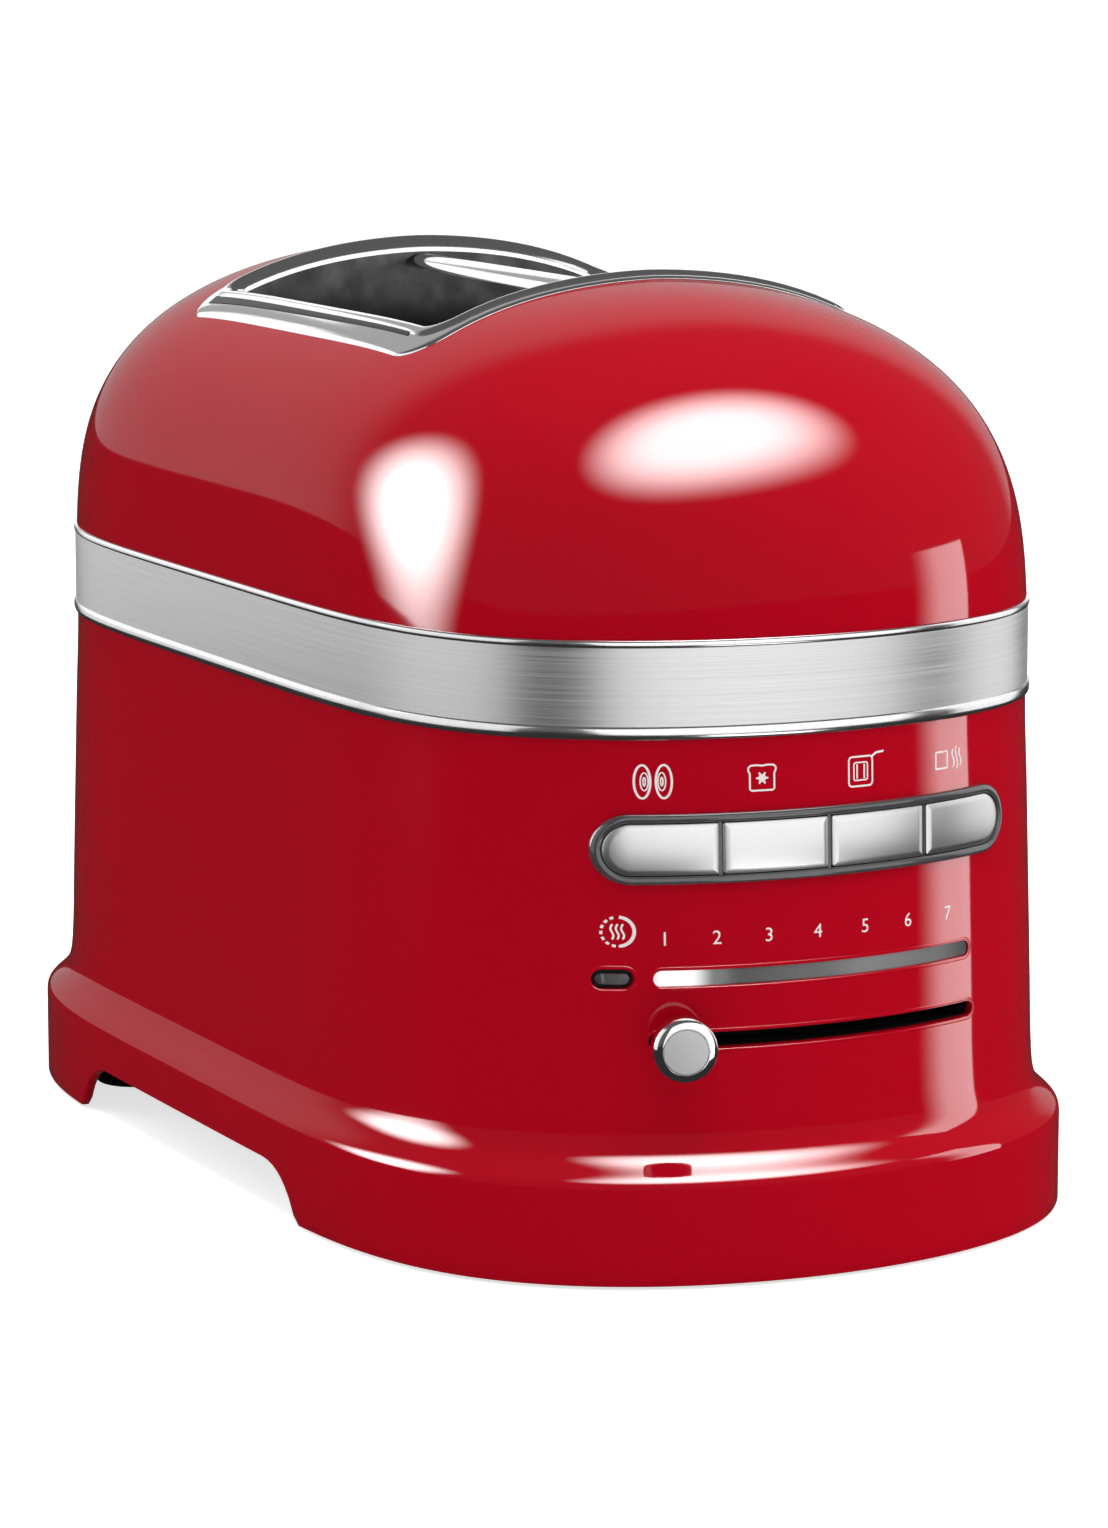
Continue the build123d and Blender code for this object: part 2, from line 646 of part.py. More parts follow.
with BuildPart() as bottom_wires:
    with BuildSketch(Plane.XZ.offset(CHASSIS_Y)):
        for side in (-1, 1):
            for step in (-1, 0, 1):
                with Locations((side * (SLOT_CENTRE_X + 10.5 * step), 50)):
                    Circle(1.0)
    extrude(amount=-2 * CHASSIS_Y)

write(bottom_wires.part, "bottom_wires")

# ---------------------------------------------------------------- heaters

HEATER_BOTTOM, HEATER_TOP, MICA = 64.0, 200.0, 0.8
HEATER_X = {
    "heater_left_outer": -61.5, "heater_left_inner": -3.2,
    "heater_right_inner": 3.2, "heater_right_outer": 61.5,
}

for name, x in HEATER_X.items():
    with BuildPart() as heater:
        with BuildSketch(Plane.YZ.offset(x - MICA / 2)):
            with Locations((0, (HEATER_BOTTOM + HEATER_TOP) / 2)):
                Rectangle(2 * CHASSIS_Y - 0.4, HEATER_TOP - HEATER_BOTTOM)
            # notches that the ribbon is wound through
            for edge in (HEATER_BOTTOM, HEATER_TOP):
                with Locations((0, edge)):
                    with GridLocations(8.0, 1, 15, 1):
                        Rectangle(1.6, 3.0, mode=Mode.SUBTRACT)
        extrude(amount=MICA)
    write(heater.part, name)

# ---------------------------------------------------------------- wire guards

GUARD_VERTICALS = 7
GUARD_NAMES = {"guard_left_outer": -GUARD_X[1], "guard_left_inner": -GUARD_X[0],
               "guard_right_inner": GUARD_X[0], "guard_right_outer": GUARD_X[1]}

for name, x in GUARD_NAMES.items():
    with BuildPart() as guard:
        # pivot wire through both chassis plates
        with BuildSketch(Plane.XZ.offset(CHASSIS_Y + 2.5)):
            with Locations((x, GUARD_HINGE_Z)):
                Circle(GUARD_WIRE)
        extrude(amount=-2 * (CHASSIS_Y + 2.5))
        with BuildSketch(Plane.XZ.offset(GUARD_HALF_LENGTH)):
            with Locations((x, GUARD_TOP), (x, (GUARD_TOP + GUARD_HINGE_Z) / 2)):
                Circle(GUARD_WIRE)
        extrude(amount=-2 * GUARD_HALF_LENGTH)
        with BuildSketch(Plane.XY.offset(GUARD_HINGE_Z)):
            with Locations((x, 0)):
                pitch = 2 * GUARD_HALF_LENGTH / (GUARD_VERTICALS - 1) - 0.3
                with GridLocations(1, pitch, 1, GUARD_VERTICALS):
                    Circle(GUARD_WIRE * 0.9)
        extrude(amount=GUARD_TOP - GUARD_HINGE_Z)
    write(guard.part, name)

# ---------------------------------------------------------------- bread lift

BRACKET_FRONT_Y = 79.0
RACK_BAR_THICK = 2.0
RACK_BAR_DEPTH = 7.0

for name, x in (("bread_rack_left", -SLOT_CENTRE_X), ("bread_rack_right", SLOT_CENTRE_X)):
    with BuildPart() as bread_rack:
        with BuildSketch(Plane.XY.offset(RACK_TOP - RACK_BAR_DEPTH)):
            with Locations((x, (BRACKET_FRONT_Y - GUARD_HALF_LENGTH) / 2)):
                Rectangle(RACK_BAR_THICK, BRACKET_FRONT_Y + GUARD_HALF_LENGTH)
        extrude(amount=RACK_BAR_DEPTH)
        with BuildSketch(Plane.XY.offset(RACK_TOP - 3.5)):
            with Locations((x, 0)):
                with GridLocations(1, RACK_PITCH, 1, 7):
                    Rectangle(2 * RACK_HALF_WIDTH, 2.0)
        extrude(amount=3.5)
    write(bread_rack.part, name)

BRACKET_LOW, BRACKET_HIGH = 116.0, 142.0
GEAR_RACK_LOW, GEAR_RACK_HIGH = 104.0, 176.0

with BuildPart() as lift_bracket:
    with BuildSketch(Plane.XY.offset(BRACKET_LOW)):
        with Locations((0, BRACKET_FRONT_Y + 0.75)):
            Rectangle(76, 1.5)
        with Locations((-GUIDE_ROD_X, 82.6), (GUIDE_ROD_X, 82.6)):
            Rectangle(6, 5)
        with Locations((-GUIDE_ROD_X, GUIDE_ROD_Y), (GUIDE_ROD_X, GUIDE_ROD_Y)):
            Circle(5.0)
            Circle(GUIDE_ROD_RADIUS + 0.1, mode=Mode.SUBTRACT)
    extrude(amount=BRACKET_HIGH - BRACKET_LOW)
    # arm to the gear rack
    with BuildSketch(Plane.XY.offset(BRACKET_LOW)):
        with Locations((0, (BRACKET_FRONT_Y + GEAR_Y[0]) / 2)):
            Rectangle(4.0, GEAR_Y[0] - BRACKET_FRONT_Y)
    extrude(amount=BRACKET_HIGH - BRACKET_LOW)

write(lift_bracket.part, "lift_bracket")

RACK_LINE_X = 5.0
RACK_ROOT_X = RACK_LINE_X - 1.25 * MODULE
TOOTH_HALF = 0.55 * MODULE
TOOTH_SLOPE = 0.36

with BuildPart() as gear_rack:
    with BuildSketch(Plane.XZ.offset(-GEAR_Y[0])):
        with Locations(((RACK_ROOT_X - 2) / 2, (GEAR_RACK_LOW + GEAR_RACK_HIGH) / 2)):
            Rectangle(RACK_ROOT_X + 2, GEAR_RACK_HIGH - GEAR_RACK_LOW)
        first = round((GEAR_RACK_LOW - PINION_Z) / (pi * MODULE)) + 1
        last = round((GEAR_RACK_HIGH - PINION_Z) / (pi * MODULE)) - 1
        for k in range(first, last + 1):
            z = PINION_Z + (k + 0.5) * pi * MODULE
            root, tip = RACK_ROOT_X - 0.1, RACK_LINE_X + MODULE
            wide = TOOTH_HALF + TOOTH_SLOPE * 1.25 * MODULE
            slim = TOOTH_HALF - TOOTH_SLOPE * MODULE
            Polygon((root, z - wide), (tip, z - slim), (tip, z + slim), (root, z + wide), align=None)
    extrude(amount=-(GEAR_Y[1] - GEAR_Y[0]))

write(gear_rack.part, "gear_rack")

with BuildPart() as guide_rods:
    with BuildSketch(Plane.XY.offset(SHELF_TOP)):
        with Locations((-GUIDE_ROD_X, GUIDE_ROD_Y), (GUIDE_ROD_X, GUIDE_ROD_Y)):
            Circle(GUIDE_ROD_RADIUS)
    extrude(amount=200 - SHELF_TOP)

write(guide_rods.part, "guide_rods")

with BuildPart() as rod_bracket:
    with BuildSketch(Plane.XY.offset(200)):
        with Locations((0, (CHASSIS_Y + SHEET + 94) / 2)):
            Rectangle(68, 94 - CHASSIS_Y - SHEET)
    extrude(amount=1.5)
    with BuildSketch(Plane.XY.offset(190)):
        with Locations((0, CHASSIS_Y + SHEET + 0.6)):
            Rectangle(68, 1.2)
    extrude(amount=10)

write(rod_bracket.part, "rod_bracket")

# ---------------------------------------------------------------- lift drive

PITCH_RADIUS = MODULE * PINION_TEETH / 2
ROOT_RADIUS = PITCH_RADIUS - 1.25 * MODULE

with BuildPart() as lift_pinion:
    with BuildSketch(Plane.XZ.offset(-GEAR_Y[0])):
        with Locations((PINION_X, PINION_Z)):
            Circle(ROOT_RADIUS)
            with PolarLocations(0, PINION_TEETH):
                Polygon(
                    (ROOT_RADIUS - 0.5, -TOOTH_HALF - 0.4), (PITCH_RADIUS, -TOOTH_HALF),
                    (PITCH_RADIUS + MODULE, -0.25), (PITCH_RADIUS + MODULE, 0.25),
                    (PITCH_RADIUS, TOOTH_HALF), (ROOT_RADIUS - 0.5, TOOTH_HALF + 0.4),
                    align=None,
                )
    extrude(amount=-(GEAR_Y[1] - GEAR_Y[0]))
    # shaft into the gearbox
    with BuildSketch(Plane.XZ.offset(-GEAR_Y[1])):
        with Locations((PINION_X, PINION_Z)):
            Circle(2.0)
    extrude(amount=-9.0)

write(lift_pinion.part, "lift_pinion")

GEARBOX_FRONT, GEARBOX_BACK = 94.0, 112.0
with BuildPart() as lift_gearbox:
    with BuildSketch(Plane.XZ.offset(-GEARBOX_FRONT)):
        with Locations((PINION_X, PINION_Z + 2)):
            RectangleRounded(32, 36, 5)
    extrude(amount=-(GEARBOX_BACK - GEARBOX_FRONT))
    with BuildSketch(Plane.XZ.offset(-GEARBOX_FRONT)):
        with Locations((PINION_X, PINION_Z)):
            Circle(2.05)
    extrude(amount=-7.0, mode=Mode.SUBTRACT)

write(lift_gearbox.part, "lift_gearbox")

with BuildPart() as lift_motor:
    with BuildSketch(Plane.XZ.offset(-GEARBOX_BACK)):
        with Locations((PINION_X, PINION_Z + 4)):
            Circle(12)
    extrude(amount=-26)
    with BuildSketch(Plane.XZ.offset(-GEARBOX_BACK - 26)):
        with Locations((PINION_X, PINION_Z + 4)):
            Circle(4)
    extrude(amount=-2.5)

write(lift_motor.part, "lift_motor")

with BuildPart() as motor_stand:
    with BuildSketch(Plane.XY.offset(SHELF_TOP)):
        with Locations((PINION_X, 104)):
            Rectangle(30, 16)
            Rectangle(27, 13, mode=Mode.SUBTRACT)
    extrude(amount=PINION_Z + 2 - 18 - SHELF_TOP)

write(motor_stand.part, "motor_stand")

# ---------------------------------------------------------------- rear bay

SHELF_LEG_X = 63.0
with BuildPart() as rear_shelf:
    with BuildSketch(Plane.XY.offset(SHELF_Z)):
        with Locations((0, 103)):
            Rectangle(2 * SHELF_LEG_X, 60)
    extrude(amount=SHELF_THICK)
    with BuildSketch(Plane.XY.offset(PLATE_TOP)):
        with Locations((-SHELF_LEG_X + 0.6, 103), (SHELF_LEG_X - 0.6, 103)):
            Rectangle(1.2, 60)
    extrude(amount=SHELF_Z - PLATE_TOP)

write(rear_shelf.part, "rear_shelf")

with BuildPart() as transformer:
    with BuildSketch(Plane.XY.offset(SHELF_TOP)):
        with Locations((-42, 112)):
            Rectangle(34, 30)
    extrude(amount=29)
    with BuildSketch(Plane.XY.offset(SHELF_TOP + 6)):
        with Locations((-42, 112)):
            RectangleRounded(22, 42, 3)
    extrude(amount=17)

write(transformer.part, "transformer")

POWER_BOARD_Z = SHELF_TOP + 8
with BuildPart() as power_board:
    with BuildSketch(Plane.XY.offset(POWER_BOARD_Z)):
        with Locations((46, 104)):
            Rectangle(30, 50)
    extrude(amount=BOARD_THICK)

write(power_board.part, "power_board")

with BuildPart() as power_board_posts:
    with BuildSketch(Plane.XY.offset(SHELF_TOP)):
        with Locations((46, 104)):
            with GridLocations(22, 42, 2, 2):
                Circle(2.5)
    extrude(amount=POWER_BOARD_Z - SHELF_TOP)

write(power_board_posts.part, "power_board_posts")

with BuildPart() as heater_relay:
    with BuildSketch(Plane.XY.offset(POWER_BOARD_Z + BOARD_THICK)):
        with Locations((46, 92)):
            Rectangle(20, 16)
    extrude(amount=16)
    fillet(heater_relay.edges().group_by(Axis.Z)[-1], 0.8)

write(heater_relay.part, "heater_relay")

with BuildPart() as terminal_block:
    with BuildSketch(Plane.XY.offset(POWER_BOARD_Z + BOARD_THICK)):
        with Locations((46, 119)):
            Rectangle(24, 11)
    extrude(amount=11)
    with BuildSketch(Plane.XY.offset(POWER_BOARD_Z + BOARD_THICK + 11)):
        with Locations((46, 119)):
            with GridLocations(7.5, 1, 3, 1):
                Circle(2.2)
    extrude(amount=-6, mode=Mode.SUBTRACT)

write(terminal_block.part, "terminal_block")

# ---------------------------------------------------------------- crumb tray

TRAY_BACK_Y = 152.0
with BuildPart() as crumb_tray:
    with BuildSketch(Plane.XY.offset(TRAY_BOTTOM)):
        with Locations((0, (TRAY_BACK_Y - CHASSIS_Y + 2) / 2)):
            Rectangle(2 * TRAY_HALF - 1, TRAY_BACK_Y + CHASSIS_Y - 2)
    extrude(amount=6.5)
    with BuildSketch(Plane.XY.offset(TRAY_BOTTOM + 0.8)):
        with Locations((0, (TRAY_BACK_Y - CHASSIS_Y + 2) / 2)):
            Rectangle(2 * TRAY_HALF - 2.6, TRAY_BACK_Y + CHASSIS_Y - 2 - 1.6)
    extrude(amount=6.5, mode=Mode.SUBTRACT)

write(crumb_tray.part, "crumb_tray")

with BuildPart() as tray_front:
    extrude(ring_section(TRAY_BOTTOM, SKIRT_OUT - 0.8, SKIRT_OUT - 5), amount=TRAY_TOP - TRAY_BOTTOM)
    with BuildSketch(Plane.XY.offset(TRAY_BOTTOM)):
        with Locations((0, 150)):
            Rectangle(2 * TRAY_HALF, 80)
    extrude(amount=TRAY_TOP - TRAY_BOTTOM, mode=Mode.INTERSECT)
    # neck that joins it to the tray, and a finger pull
    with BuildSketch(Plane.XY.offset(TRAY_BOTTOM)):
        with Locations((0, (TRAY_BACK_Y + 166) / 2)):
            Rectangle(70, 166 - TRAY_BACK_Y)
    extrude(amount=5)

write(tray_front.part, "crumb_tray_handle")
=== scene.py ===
import json
import logging
import math
from dataclasses import dataclass, replace
from enum import Enum
from typing import Callable, Sequence

import bmesh
import bpy
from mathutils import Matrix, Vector

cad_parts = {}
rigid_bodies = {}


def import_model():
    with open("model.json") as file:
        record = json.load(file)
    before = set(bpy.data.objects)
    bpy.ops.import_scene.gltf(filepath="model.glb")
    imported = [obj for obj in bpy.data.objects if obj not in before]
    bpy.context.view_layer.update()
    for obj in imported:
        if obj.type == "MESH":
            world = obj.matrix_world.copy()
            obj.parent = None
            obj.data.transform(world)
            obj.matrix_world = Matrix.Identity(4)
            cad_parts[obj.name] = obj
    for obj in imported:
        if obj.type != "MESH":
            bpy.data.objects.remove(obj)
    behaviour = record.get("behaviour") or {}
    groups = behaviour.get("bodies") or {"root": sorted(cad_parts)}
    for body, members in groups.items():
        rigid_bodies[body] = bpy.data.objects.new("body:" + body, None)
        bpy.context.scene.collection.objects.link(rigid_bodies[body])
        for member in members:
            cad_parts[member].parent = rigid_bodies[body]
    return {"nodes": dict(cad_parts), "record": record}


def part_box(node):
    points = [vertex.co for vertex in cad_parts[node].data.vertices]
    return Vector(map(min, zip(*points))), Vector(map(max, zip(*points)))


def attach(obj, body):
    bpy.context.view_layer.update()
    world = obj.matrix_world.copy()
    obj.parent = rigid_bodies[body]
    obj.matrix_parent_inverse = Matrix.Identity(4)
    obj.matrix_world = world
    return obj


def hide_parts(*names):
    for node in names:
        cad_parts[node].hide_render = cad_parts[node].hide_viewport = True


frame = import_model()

# Sizes are in millimetres; MM turns them into the frame's metres when a mesh is made.
MM = 0.001
LOG = logging.getLogger("toaster")
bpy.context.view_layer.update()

Loop = list[Vector]
Flat = list[tuple[float, float]]
Skin = tuple[Loop, list[tuple[int, ...]]]
Color = tuple[float, float, float]
Piece = bpy.types.Object
Tree = bpy.types.NodeTree
Node = bpy.types.Node
Outputs = bpy.types.NodeOutputs


class Cap(Enum):
    """How the end of a skinned row of loops is closed."""

    OPEN = "open"
    FAN = "fan"
    COLUMNS = "columns"


class Socket(Enum):
    """Kind of a node group's socket."""

    FLOAT = "NodeSocketFloat"
    INT = "NodeSocketInt"
    VECTOR = "NodeSocketVector"
    COLOR = "NodeSocketColor"
    MATERIAL = "NodeSocketMaterial"
    GEOMETRY = "NodeSocketGeometry"


def box_mm(node: str) -> tuple[Vector, Vector]:
    """Lowest and highest corner of a CAD node in millimetres."""
    low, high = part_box(node)
    return low / MM, high / MM


# ------------------------------------------------------------------ mesh making


def make_piece(name: str, made: Skin, finish: "Coating", sharp: float = 35.0) -> Piece:
    """Make a smooth piece with sharp edges where its faces turn steeply.

    Args:
        name: Name of the piece.
        made: Corners in millimetres, and the corner numbers of each face.
        finish: What the piece is made of.
        sharp: Turn between two faces, in degrees, above which their edge is sharp.

    Returns:
        The new object, at the origin.
    """
    points, faces = made
    mesh = bpy.data.meshes.new(name)
    mesh.from_pydata([Vector(p) * MM for p in points], [], faces)
    shape = bmesh.new()
    shape.from_mesh(mesh)
    bmesh.ops.remove_doubles(shape, verts=shape.verts, dist=1e-7)
    bmesh.ops.recalc_face_normals(shape, faces=shape.faces)
    shape.to_mesh(mesh)
    shape.free()
    mesh.materials.append(finish.build())
    finish_mesh(mesh, sharp)
    piece = bpy.data.objects.new(name, mesh)
    put_in_scene(piece)
    return piece


def put_in_scene(thing: Piece) -> None:
    """Link an object to the scene."""
    bpy.context.scene.collection.objects.link(thing)


def finish_mesh(mesh: bpy.types.Mesh, sharp: float) -> None:
    """Shade a mesh smooth, apart from edges that turn by more than sharp degrees."""
    mesh.polygons.foreach_set("use_smooth", [True] * len(mesh.polygons))
    mesh.set_sharp_from_angle(angle=math.radians(sharp))
    mesh.update()


def skin(loops: Sequence[Loop], cap: Cap = Cap.OPEN, joined: bool = False) -> Skin:
    """Join closed loops of equal length into a skin.

    Args:
        loops: Loops of points, in order.
        cap: How the first and the last loop are closed.
        joined: Whether the last loop also joins the first, as round a ring.

    Returns:
        Points and faces.
    """
    count = len(loops[0])
    points = [point for loop in loops for point in loop]
    faces: list[tuple[int, ...]] = []
    for row in range(len(loops) if joined else len(loops) - 1):
        here, there = row * count, (row + 1) % len(loops) * count
        for i in range(count):
            j = (i + 1) % count
            faces.append((here + i, here + j, there + j, there + i))
    for row in (0, len(loops) - 1):
        first = row * count
        if cap is Cap.FAN:
            centre = len(points)
            points.append(sum(loops[row], Vector()) / count)
            faces += [(first + i, first + (i + 1) % count, centre) for i in range(count)]
        elif cap is Cap.COLUMNS:
            faces += [(first + i, first + i + 1, first + count - 2 - i, first + count - 1 - i)
                      for i in range(count // 2 - 1)]
    return points, faces


def merge(parts: Sequence[Skin]) -> Skin:
    """Put several skins into one list of points and faces."""
    points: Loop = []
    faces: list[tuple[int, ...]] = []
    for more, theirs in parts:
        shift = len(points)
        points += more
        faces += [tuple(i + shift for i in face) for face in theirs]
    return points, faces


def cut(piece: Piece, cutters: Sequence[Piece], sharp: float) -> None:
    """Take cutters out of a piece, one after the other, and throw them away."""
    for cutter in cutters:
        modifier = piece.modifiers.new("cut", "BOOLEAN")
        modifier.operation = "DIFFERENCE"
        modifier.solver = "EXACT"
        modifier.object = cutter
        plain(piece)
        bpy.data.objects.remove(cutter)
    finish_mesh(piece.data, sharp)


def plain(piece: Piece) -> None:
    """Turn what a piece's modifiers make into its plain mesh."""
    depsgraph = bpy.context.evaluated_depsgraph_get()
    made = bpy.data.meshes.new_from_object(piece.evaluated_get(depsgraph))
    piece.modifiers.clear()
    piece.data = made


def wall_cutter(name: str, outlines: Sequence[Flat], near: float, far: float) -> Piece:
    """Cutter through a wall: outlines in X and Z, from one Y to another, in one piece."""
    parts = [skin([[Vector((x, y, z)) for x, z in outline] for y in (near, far)], Cap.COLUMNS)
             for outline in outlines]
    return make_piece(name, merge(parts), STEEL_DARK)


def show(piece: Piece, body: str, slot: str, *nodes: str) -> Piece:
    """Hang a finished piece on its body and hide the CAD nodes that it stands for."""
    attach(piece, body)
    if nodes:
        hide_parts(*nodes)
    LOG.info("%s: %d faces on %s", piece.name, len(piece.data.polygons), body)
    return piece


def round_box(half_x: float, half_y: float, radius: float, steps: int = 10, sides: int = 24) -> Flat:
    """Points round a rectangle with round corners, with more points along its sides."""
    def on_corner(sx: int, sy: int, degrees: float) -> tuple[float, float]:
        """Point of one round corner, at a turn in degrees."""
        turn = math.radians(degrees)
        return sx * (half_x - radius) + radius * math.cos(turn), sy * (half_y - radius) + radius * math.sin(turn)

    points: Flat = []
    corners = [(1, 1, 0), (-1, 1, 90), (-1, -1, 180), (1, -1, 270)]
    for index, (sx, sy, start) in enumerate(corners):
        points += [on_corner(sx, sy, start + 90 * i / steps) for i in range(steps + 1)]
        here, there = points[-1], on_corner(*corners[(index + 1) % 4])
        points += [(here[0] + (there[0] - here[0]) * i / sides, here[1] + (there[1] - here[1]) * i / sides)
                   for i in range(1, sides)]
    return points


def panel_outline(x0: float, x1: float, z0: float, z1: float, left: float, right: float,
                  columns: int = 24, steps: int = 10) -> Flat:
    """Points round a strip: along its top from left to right, and back along its bottom.

    Args:
        x0: Left end.
        x1: Right end.
        z0: Bottom.
        z1: Top.
        left: Radius of the two corners at the left end.
        right: Radius of the two corners at the right end.
        columns: Points along the straight part.
        steps: Points round each corner.

    Returns:
        Points, the top row's from left to right, then the bottom row's from right to left.
    """
    def corner(x: float, radius: float, start: float) -> Flat:
        """A quarter turn of the top row, clockwise from a turn in degrees."""
        turns = [math.radians(start - 90 * i / steps) for i in range(steps + 1)]
        return [(x + radius * math.cos(turn), z1 - radius + radius * math.sin(turn)) for turn in turns]

    straight = [(x0 + left + (x1 - right - x0 - left) * i / columns, z1) for i in range(1, columns)]
    top = corner(x0 + left, left, 180) + straight + corner(x1 - right, right, 90)
    return top + [(x, z0 + z1 - z) for x, z in reversed(top)]


# ------------------------------------------------------------------ the body's form


def halve(high: float, steps: int, inside: Callable[[float], bool]) -> float:
    """Largest number from nought to high that is still inside, found by halving."""
    low = 0.0
    for _ in range(steps):
        middle = (low + high) / 2
        if inside(middle):
            low = middle
        else:
            high = middle
    return low


@dataclass(frozen=True)
class BodyForm:
    """The toaster's outer form: a plan curve, a wall that flares into a skirt, and a dome.

    The plan is |x/half_width|^2 + |y/half_length|^squareness = 1 at the trim band.
    """

    half_width: float
    half_length: float
    band_bottom: float
    band_top: float
    skirt_bottom: float
    squareness: float = 5.05
    dome_rise: float = 76.8
    width_powers: tuple[float, float] = (3.058, 2.169)
    length_powers: tuple[float, float] = (2.16, 3.323)
    crest_half_length: float = 47.0
    rounding: float = 0.978

    @classmethod
    def from_frame(cls) -> "BodyForm":
        """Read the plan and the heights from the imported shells."""
        dome_low, dome_high = box_mm("upper_shell")
        skirt_low, wall_high = box_mm("lower_shell")
        return cls(half_width=(dome_high.x - dome_low.x) / 2, half_length=(dome_high.y - dome_low.y) / 2,
                   band_bottom=wall_high.z, band_top=dome_low.z, skirt_bottom=skirt_low.z)

    def plan_point(self, angle: float, half_width: float, half_length: float, power: float) -> tuple[float, float]:
        """Point of a plan curve along a direction from its centre."""
        across, along = abs(math.cos(angle)) / half_width, abs(math.sin(angle)) / half_length
        reach = halve(half_width + half_length, 40, lambda r: (r * across) ** 2 + (r * along) ** power < 1)
        return reach * math.cos(angle), reach * math.sin(angle)

    def outward(self, x: float, y: float, half_width: float, half_length: float, power: float) -> Vector:
        """Outward direction of a plan curve at one of its points."""
        steep = power * abs(y / half_length) ** (power - 1) / half_length
        return Vector((2 * x / half_width**2, math.copysign(steep, y))).normalized()

    def ring(self, outset: float, z: float, count: int = 240, half_width: float | None = None,
             half_length: float | None = None, power: float | None = None) -> Loop:
        """One level loop of the form.

        Args:
            outset: Distance outwards along the curve's normal.
            z: Height of the loop.
            count: Number of points.
            half_width: Half width, if it isn't the band's.
            half_length: Half length, if it isn't the band's.
            power: Squareness, if it isn't the band's.

        Returns:
            The loop, anticlockwise seen from above.
        """
        wide, long = half_width or self.half_width, half_length or self.half_length
        square = power or self.squareness
        loop = []
        for i in range(count):
            turn = 2 * math.pi * (i + 0.5) / count
            angle = math.atan2(long * math.sin(turn), wide * math.cos(turn))
            x, y = self.plan_point(angle, wide, long, square)
            slope = self.outward(x, y, wide, long, square)
            loop.append(Vector((x + outset * slope.x, y + outset * slope.y, z)))
        return loop

    def dome_sizes(self, level: float) -> tuple[float, float, float]:
        """Half width, half length and squareness of the dome at a level from 0 to 1."""
        outer, inner = self.width_powers
        half_width = self.half_width * (1 - level**outer) ** (1 / inner)
        outer, inner = self.length_powers
        spread = (1 - level**outer) ** (1 / inner)
        half_length = self.crest_half_length + (self.half_length - self.crest_half_length) * spread
        return half_width, half_length, self.squareness - self.rounding * level

    def dome_height(self, x: float, y: float) -> float:
        """Height of the dome over a point of the plan."""
        def under(level: float) -> bool:
            """Whether the point is inside the dome's curve at a level."""
            half_width, half_length, power = self.dome_sizes(level)
            return (x / half_width) ** 2 + abs(y / half_length) ** power < 1

        return self.band_top + halve(0.99999, 34, under) * self.dome_rise

    def front_y(self, x: float, outset: float) -> float:
        """Y of the front wall at x, outset from the plan at the band."""
        base = x
        for _ in range(6):
            flat = math.copysign(1, base) * min(abs(base), self.half_width * 0.99)
            y = self.half_length * (1 - (flat / self.half_width) ** 2) ** (1 / self.squareness)
            slope = self.outward(flat, y, self.half_width, self.half_length, self.squareness)
            base = x - outset * slope.x
        return -(y + outset * slope.y)


# Outward offset of the lower wall at each height, easing from the skirt into the wall
WALL_CURVE = [
    (0.8, 9.93), (12.0, 9.93), (23.6, 9.93), (25.0, 9.75), (26.1, 9.15), (27.3, 7.95), (28.6, 6.5), (30.0, 5.15),
    (31.6, 4.1), (33.6, 3.4), (36.5, 2.95), (41.0, 2.65), (46.0, 2.45), (56.0, 2.2), (80.0, 1.5), (105.0, 0.75),
    (129.1, 0.0),
]


def wall_outset(z: float) -> float:
    """Smooth outward offset of the lower wall at a height, with no overshoot."""
    heights = [height for height, _ in WALL_CURVE]
    z = min(max(z, heights[0]), heights[-1])
    k = max(i for i in range(len(heights) - 1) if heights[i] <= z)

    def slope(i: int) -> float:
        """Slope at a point of the curve, nought at its ends and where it turns."""
        if i in (0, len(WALL_CURVE) - 1):
            return 0.0
        before = (WALL_CURVE[i][1] - WALL_CURVE[i - 1][1]) / (WALL_CURVE[i][0] - WALL_CURVE[i - 1][0])
        after = (WALL_CURVE[i + 1][1] - WALL_CURVE[i][1]) / (WALL_CURVE[i + 1][0] - WALL_CURVE[i][0])
        return 0.0 if before * after <= 0 else 2 * before * after / (before + after)

    step = heights[k + 1] - heights[k]
    t = (z - heights[k]) / step
    start, end = WALL_CURVE[k][1], WALL_CURVE[k + 1][1]
    return ((2 * t**3 - 3 * t**2 + 1) * start + (t**3 - 2 * t**2 + t) * step * slope(k)
            + (3 * t**2 - 2 * t**3) * end + (t**3 - t**2) * step * slope(k + 1))


FORM = BodyForm.from_frame()


def on_wall(x: float, z: float, depth: float) -> Vector:
    """A point on the front wall, depth millimetres proud of its paint."""
    return Vector((x, FORM.front_y(x, wall_outset(z) + depth), z))


# ------------------------------------------------------------------ node trees


def fill(node: Node, inputs: dict[int | str, object]) -> None:
    """Set a node's inputs: a socket is linked, and anything else is a value."""
    for label, value in inputs.items():
        if isinstance(value, bpy.types.NodeSocket):
            node.id_data.links.new(value, node.inputs[label])
        else:
            node.inputs[label].default_value = value


def add(tree: Tree, kind: str, inputs: dict[int | str, object] | None = None,
        **settings: object) -> Node:
    """Add a node to a tree.

    Args:
        tree: The tree.
        kind: Type of the node.
        inputs: Its inputs, as values or as sockets to link.
        settings: Its own properties.

    Returns:
        The node.
    """
    node = tree.nodes.new(kind)
    for label, value in settings.items():
        setattr(node, label, value)
    fill(node, inputs or {})
    return node


